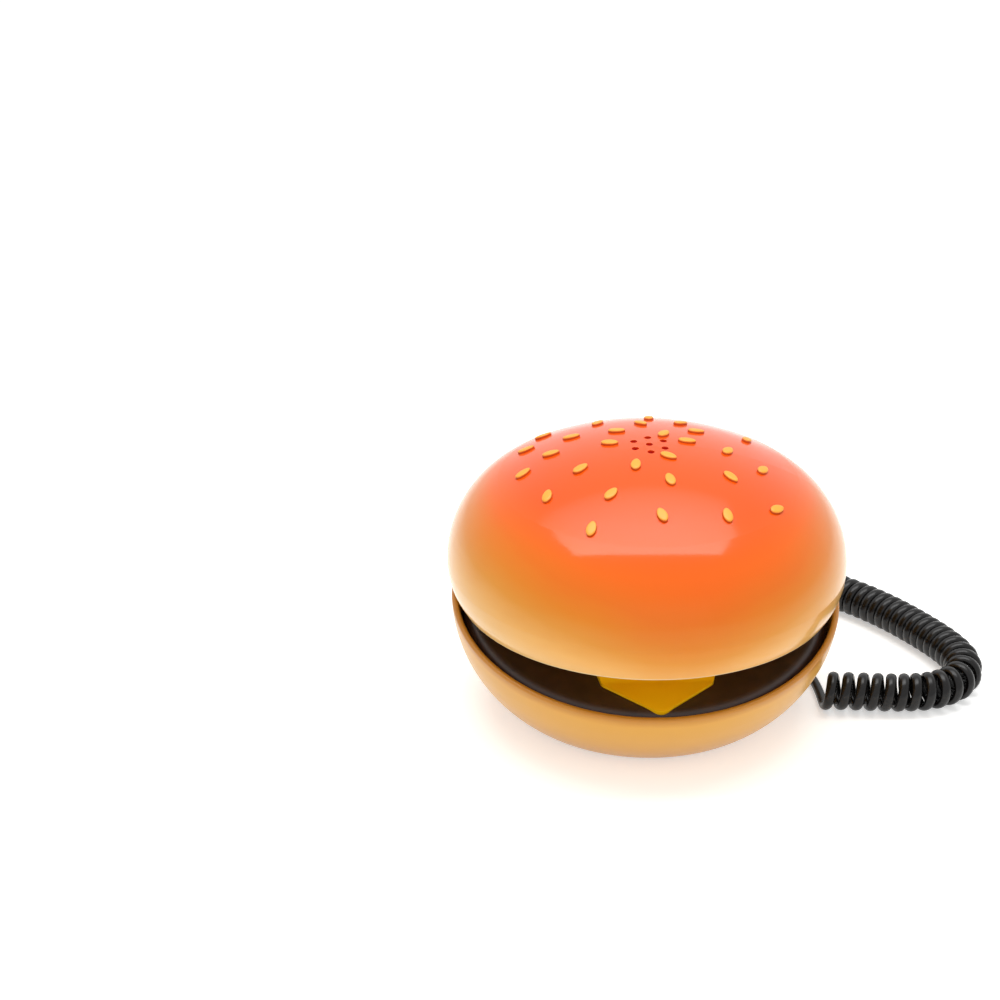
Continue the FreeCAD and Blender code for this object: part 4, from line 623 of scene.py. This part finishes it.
# %% [markdown]
# ## Sesame seeds
# The seeds are raised drops on the crown with a dab of pale paint on top. Their sides keep the bun's spray,
# but painted darker than the bun itself, so that dark rim is partly painted shade. They repeat and follow a
# surface,
# so Geometry Nodes place them: one point per seed, taken from the frame's own seeds, with the surface's
# outward direction and the seed's long direction.
# A seed's narrow end is found by comparing how wide its points lie near both ends.

# %% Where the seeds lie
SAME_POINT = 1e-6
SEED_END = 0.6


def joined_points(first, left):
    """Takes a point and all that its edges lead to out of left, and gives their places."""
    left.discard(first)
    waiting = [first]
    places = []
    while waiting:
        v = waiting.pop()
        places.append(v.co.copy())
        touching = [w for w in (e.other_vert(v) for e in v.link_edges) if w in left]
        left.difference_update(touching)
        waiting.extend(touching)
    return np.array(places)


def seed_spot(p):
    """Place on the bun, outward direction and tip direction of the seed that has these points."""
    centre = (p.min(0) + p.max(0)) / 2
    place, out = nodes["top_bun"].closest_point_on_mesh(Vector(centre))[1:3]
    flat = (p - centre) - np.outer((p - centre) @ np.array(out), np.array(out))
    along = np.linalg.svd(flat, full_matrices=False)[2][0]
    reach = flat @ along
    across = np.linalg.norm(flat - np.outer(reach, along), axis=1)
    front = across[reach > SEED_END * reach.max()].max()
    back = across[reach < SEED_END * reach.min()].max()
    return place, out, Vector(along if front < back else -along)


shape = bmesh.new()
shape.from_mesh(nodes["sesame_seeds"].data)
bmesh.ops.remove_doubles(shape, verts=shape.verts[:], dist=SAME_POINT)
left = set(shape.verts)
spots = [seed_spot(joined_points(v, left)) for v in shape.verts if v in left]
shape.free()
print("seeds", len(spots))

# %% [markdown]
# One seed is drawn as rings from its buried foot to its flat crown. A number stored on its points, the rise,
# tells the paint which part is side and which is top.

# %% One seed
SEED_LENGTH = 5.6
SEED_WIDTH = 3.9
SEED_TIP_RADIUS = 0.9
SEED_TIP_FULL = 0.12
SEED_SIDES = 22
SEED_RINGS = [(1.0, -0.45), (1.0, 0.5), (0.95, 0.74), (0.84, 0.87), (0.55, 0.93)]
DAB_SIZE = 1.5
DAB_UNEVEN = 0.25


def seed_outline():
    """Round at one end, narrow at the other, along X."""
    big = SEED_WIDTH / 2
    gap = SEED_LENGTH - big - SEED_TIP_RADIUS
    outline = []
    for i in range(SEED_SIDES):
        a = 2 * math.pi * i / SEED_SIDES
        wide = 0.5 - 0.5 * math.cos(a)
        radius = SEED_TIP_RADIUS + (big - SEED_TIP_RADIUS) * wide
        fullness = 1.0 + SEED_TIP_FULL * (1 - wide)
        outline.append((gap / 2 - gap * wide + radius * math.cos(a), radius * math.sin(a) * fullness))
    return outline


def seed_pattern():
    """The seed that is copied, with its rise in millimetres on each point."""
    rings = [[(x * size, y * size, z) for x, y in seed_outline()] for size, z in SEED_RINGS]
    mesh = ringed_mesh("seed_pattern", rings)
    rise = mesh.attributes.new("rise", "FLOAT", "POINT")
    rise.data.foreach_set("value", [max(0.0, v.co.z / MM) for v in mesh.vertices])
    return bpy.data.objects.new("seed_pattern", mesh)


seed_paint_and_foot_shade, tree, shader = new_material("dabbed_seed_paint_and_foot_shade", {"Roughness": 0.42, "IOR": 1.5})
rise = add(tree, "ShaderNodeAttribute", attribute_name="rise")
where = add(tree, "ShaderNodeTexCoord").outputs["Object"]
dab = add(tree, "ShaderNodeTexNoise", {"Vector": where, "Scale": 1 / (DAB_SIZE * MM), "Detail": 2.0})
uneven = add(tree, "ShaderNodeMath", {
    0: dab.outputs["Fac"], 1: DAB_UNEVEN, 2: rise.outputs["Fac"]}, operation="MULTIPLY_ADD")
# Low on the seed the orange is darker than the bun's own spray: painted shade round its foot. The top is the
# pale dab.
tone = add(tree, "ShaderNodeValToRGB", {"Fac": uneven.outputs[0]}, stops=[
    (0.0, "#C04A12"), (1.0, "#F5A42E"), (0.62, "#C45416"), (0.80, "#EC9226")])
tree.links.new(tone.outputs["Color"], shader.inputs["Base Color"])
pattern = seed_pattern()
scene.collection.objects.link(pattern)
print("seed of", len(pattern.data.polygons), "faces")

# %% [markdown]
# The tree reads the two directions stored on the points, turns each copy with them, and makes real mesh of
# the copies at the end, because an exported model keeps no instances.

# %% Seeds by Geometry Nodes
SEED_SIZE = 1.0


def scatter_tree(pattern, material):
    """Copies of a pattern on points, turned by the directions stored there; also gives its size socket."""
    group = bpy.data.node_groups.new("seeds_on_crown", "GeometryNodeTree")
    group.interface.new_socket("Geometry", in_out="INPUT", socket_type="NodeSocketGeometry")
    size = group.interface.new_socket("Seed size", in_out="INPUT", socket_type="NodeSocketFloat")
    size.default_value = SEED_SIZE
    group.interface.new_socket("Geometry", in_out="OUTPUT", socket_type="NodeSocketGeometry")
    given = add(group, "NodeGroupInput")
    out = add(group, "GeometryNodeInputNamedAttribute", {"Name": "out"}, data_type="FLOAT_VECTOR")
    along = add(group, "GeometryNodeInputNamedAttribute", {"Name": "along"}, data_type="FLOAT_VECTOR")
    turn = add(group, "FunctionNodeAxesToRotation", {
        0: out.outputs["Attribute"], 1: along.outputs["Attribute"]}, primary_axis="Z", secondary_axis="X")
    seed = add(group, "GeometryNodeObjectInfo", {"Object": pattern, "As Instance": True})
    copies = add(group, "GeometryNodeInstanceOnPoints", {
        "Points": given.outputs["Geometry"], "Instance": seed.outputs["Geometry"],
        "Rotation": turn.outputs[0], "Scale": given.outputs["Seed size"]})
    real = add(group, "GeometryNodeRealizeInstances", {"Geometry": copies.outputs[0]})
    painted = add(group, "GeometryNodeSetMaterial", {"Geometry": real.outputs[0], "Material": material})
    add(group, "NodeGroupOutput", {"Geometry": painted.outputs[0]})
    return group, size.identifier


points = bpy.data.meshes.new("seed_points")
points.from_pydata([s[0] for s in spots], [], [])
for name, column in (("out", 1), ("along", 2)):
    field = points.attributes.new(name, "FLOAT_VECTOR", "POINT")
    field.data.foreach_set("vector", np.array([s[column] for s in spots], dtype=np.float32).ravel())
holder = bpy.data.objects.new("seed_points", points)
modifier = holder.modifiers.new("seeds", "NODES")
group, size_socket = scatter_tree(pattern, seed_paint_and_foot_shade)
modifier.node_group = group
modifier[size_socket] = SEED_SIZE
seed_mesh = plain_mesh(holder)
bpy.data.objects.remove(pattern)
seeds = bpy.data.objects.new("crown_seeds", seed_mesh)
scene.collection.objects.link(seeds)
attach(seeds, "lid")
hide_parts("sesame_seeds")
print("seed faces", len(seed_mesh.polygons))

# %% [markdown]
# ## Printed digits
# The caps are pad printed with plain dark digits. A text object gives the letter shapes; made into a mesh and
# laid a few hundredths of a millimetre above the cap it is as flat as ink, and it rides its own key.

# %% Digits on the keys
DIGIT_HEIGHT = 4.4
FONT_PER_DIGIT = 1.35
INK_LIFT = 0.03
INK_GRAIN = 0.4
CAP_FLAT_WITHIN = 0.02
POCKET_TILT = math.radians(4.4)
LEGENDS = {"star": "*", "hash": "#"}
cap_out = Vector((0.0, -math.sin(POCKET_TILT), math.cos(POCKET_TILT)))
cap_back = Vector((0.0, math.cos(POCKET_TILT), math.sin(POCKET_TILT)))

ink, tree, shader = new_material("pad_printing_ink", {"Roughness": 0.6})
where = add(tree, "ShaderNodeTexCoord").outputs["Object"]
thin = add(tree, "ShaderNodeTexNoise", {"Vector": where, "Scale": 1 / (INK_GRAIN * MM), "Detail": 2.0})
tone = add(tree, "ShaderNodeValToRGB", {"Fac": thin.outputs["Fac"]}, stops=[
    (0.3, "#24231F"), (0.8, "#3A3934")])
tree.links.new(tone.outputs["Color"], shader.inputs["Base Color"])


def printed(body, text):
    """A flat printed mark in the middle of a key's cap."""
    curve = bpy.data.curves.new("print_" + body, "FONT")
    curve.body = text
    curve.align_x = "CENTER"
    curve.align_y = "CENTER"
    curve.size = DIGIT_HEIGHT * FONT_PER_DIGIT * MM
    mesh = plain_mesh(bpy.data.objects.new("print_" + body, curve))
    co = np.array([v.co for v in mesh.vertices])
    shift = Vector(-(co.min(0) + co.max(0)) / 2)
    cap = [v.co for v in nodes[body].data.vertices]
    top = max(v.dot(cap_out) for v in cap)
    face = np.array([v for v in cap if v.dot(cap_out) > top - CAP_FLAT_WITHIN * MM])
    middle = Vector((face.min(0) + face.max(0)) / 2) + cap_out * INK_LIFT * MM
    turn = Matrix((Vector((1, 0, 0)), cap_back, cap_out)).transposed().to_4x4()
    mesh.transform(Matrix.Translation(middle) @ turn @ Matrix.Translation(shift))
    mesh.materials.append(ink)
    piece = bpy.data.objects.new("print_" + body, mesh)
    scene.collection.objects.link(piece)
    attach(piece, body)
    return piece


prints = []
for name in key_names:
    short = name.removeprefix("key_")
    mark = LEGENDS.get(short, short)
    if len(mark) == 1:
        prints.append(printed(name, mark))
print("printed", len(prints), "keys")

# %% [markdown]
# ## What is hidden inside or underneath
# Feet, mat, board, screws, microphone and plug are seen only from below or behind, through a slot or with
# the lid open, yet each is a real material. First come rubber that swallows light, silicone with a faint
# haze, and a lacquered board whose tracks are the joints of a brick pattern.

# %% Rubber, silicone and board
GRIT_SIZE = 0.6
GRIT_DEPTH = 0.1
HAZE_SIZE = 2.0
TRACK_PITCH = 2.54
TRACKS_PER_BRICK = 4

rubber, tree, shader = new_material("black_foot_rubber", {"Roughness": 0.85})
where = add(tree, "ShaderNodeTexCoord").outputs["Object"]
grit = add(tree, "ShaderNodeTexNoise", {"Vector": where, "Scale": 1 / (GRIT_SIZE * MM), "Detail": 3.0})
tone = add(tree, "ShaderNodeValToRGB", {"Fac": grit.outputs["Fac"]}, stops=[
    (0.3, "#161616"), (0.8, "#2B2A29")])
bump = add(tree, "ShaderNodeBump", {
    "Height": grit.outputs["Fac"], "Strength": 0.3, "Distance": GRIT_DEPTH * MM})
tree.links.new(tone.outputs["Color"], shader.inputs["Base Color"])
tree.links.new(bump.outputs[0], shader.inputs["Normal"])
dress(rubber, "rubber_feet")

silicone, tree, shader = new_material("grey_silicone", {"Roughness": 0.62, "IOR": 1.43})
where = add(tree, "ShaderNodeTexCoord").outputs["Object"]
haze = add(tree, "ShaderNodeTexNoise", {"Vector": where, "Scale": 1 / (HAZE_SIZE * MM), "Detail": 2.0})
tone = add(tree, "ShaderNodeValToRGB", {"Fac": haze.outputs["Fac"]}, stops=[
    (0.3, "#A8A8A4"), (0.8, "#B6B6B2")])
tree.links.new(tone.outputs["Color"], shader.inputs["Base Color"])
dress(silicone, "key_mat")

board, tree, shader = new_material("green_solder_mask", {"Roughness": 0.35})
where = add(tree, "ShaderNodeTexCoord").outputs["Object"]
grid = add(tree, "ShaderNodeTexBrick", {
    "Vector": where, "Scale": 1 / (TRACKS_PER_BRICK * TRACK_PITCH * MM), "Color1": linear("#1E5A30"),
    "Color2": linear("#22663A"), "Mortar": linear("#3B8A4E"), "Mortar Size": 0.03})
tree.links.new(grid.outputs["Color"], shader.inputs["Base Color"])
dress(board, "main_board")

# %% [markdown]
# A metal has no colour under its shine: the base colour tints the reflection, and the roughness tells zinc
# plating from a drawn can and from rubbed gilt. The plug is clear, so most of its light passes through.

# %% Steel, aluminium, clear plug and contacts
BLOOM_SIZE = 1.2
DRAWN_WIDTH = 0.5
DRAWN_STRETCH = (1.0, 1.0, 0.1)
FLOW_SIZE = 1.5
RUB_SIZE = 0.4

zinc, tree, shader = new_material("zinc_plated_steel", {"Metallic": 1.0})
where = add(tree, "ShaderNodeTexCoord").outputs["Object"]
bloom = add(tree, "ShaderNodeTexNoise", {"Vector": where, "Scale": 1 / (BLOOM_SIZE * MM), "Detail": 3.0})
tone = add(tree, "ShaderNodeValToRGB", {"Fac": bloom.outputs["Fac"]}, stops=[
    (0.3, "#A9ABAE"), (0.8, "#C4C6C8")])
satin = add(tree, "ShaderNodeMapRange", {"Value": bloom.outputs["Fac"], "To Min": 0.28, "To Max": 0.45})
tree.links.new(tone.outputs["Color"], shader.inputs["Base Color"])
tree.links.new(satin.outputs[0], shader.inputs["Roughness"])
dress(zinc, "board_screws", "base_screws", "lid_screws", "hinge_pin")

can, tree, shader = new_material("drawn_aluminium_can", {"Base Color": linear("#C9CACB"), "Metallic": 1.0})
where = add(tree, "ShaderNodeTexCoord").outputs["Object"]
drawn = add(tree, "ShaderNodeMapping", {"Vector": where, "Scale": DRAWN_STRETCH})
lines = add(tree, "ShaderNodeTexNoise", {
    "Vector": drawn.outputs[0], "Scale": 1 / (DRAWN_WIDTH * MM), "Detail": 2.0})
satin = add(tree, "ShaderNodeMapRange", {"Value": lines.outputs["Fac"], "To Min": 0.3, "To Max": 0.5})
tree.links.new(satin.outputs[0], shader.inputs["Roughness"])
dress(can, "microphone")

clear, tree, shader = new_material("clear_polycarbonate", {
    "Base Color": linear("#F2F5F6"), "IOR": 1.585, "Transmission Weight": 0.85})
where = add(tree, "ShaderNodeTexCoord").outputs["Object"]
flow = add(tree, "ShaderNodeTexNoise", {"Vector": where, "Scale": 1 / (FLOW_SIZE * MM), "Detail": 2.0})
satin = add(tree, "ShaderNodeMapRange", {"Value": flow.outputs["Fac"], "To Min": 0.04, "To Max": 0.12})
tree.links.new(satin.outputs[0], shader.inputs["Roughness"])
dress(clear, "line_plug")

gilt, tree, shader = new_material("gilt_contact", {"Base Color": linear("#E2B84E"), "Metallic": 1.0})
where = add(tree, "ShaderNodeTexCoord").outputs["Object"]
rub = add(tree, "ShaderNodeTexNoise", {"Vector": where, "Scale": 1 / (RUB_SIZE * MM), "Detail": 2.0})
satin = add(tree, "ShaderNodeMapRange", {"Value": rub.outputs["Fac"], "To Min": 0.2, "To Max": 0.35})
tree.links.new(satin.outputs[0], shader.inputs["Roughness"])
dress(gilt, "plug_contacts")

# %% Write the sizes and finish
bpy.context.view_layer.update()
seen_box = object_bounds()
for title, box in (("cad", cad_box), ("visual", seen_box)):
    print(title, [[round(x, 4) for x in v] for v in box])
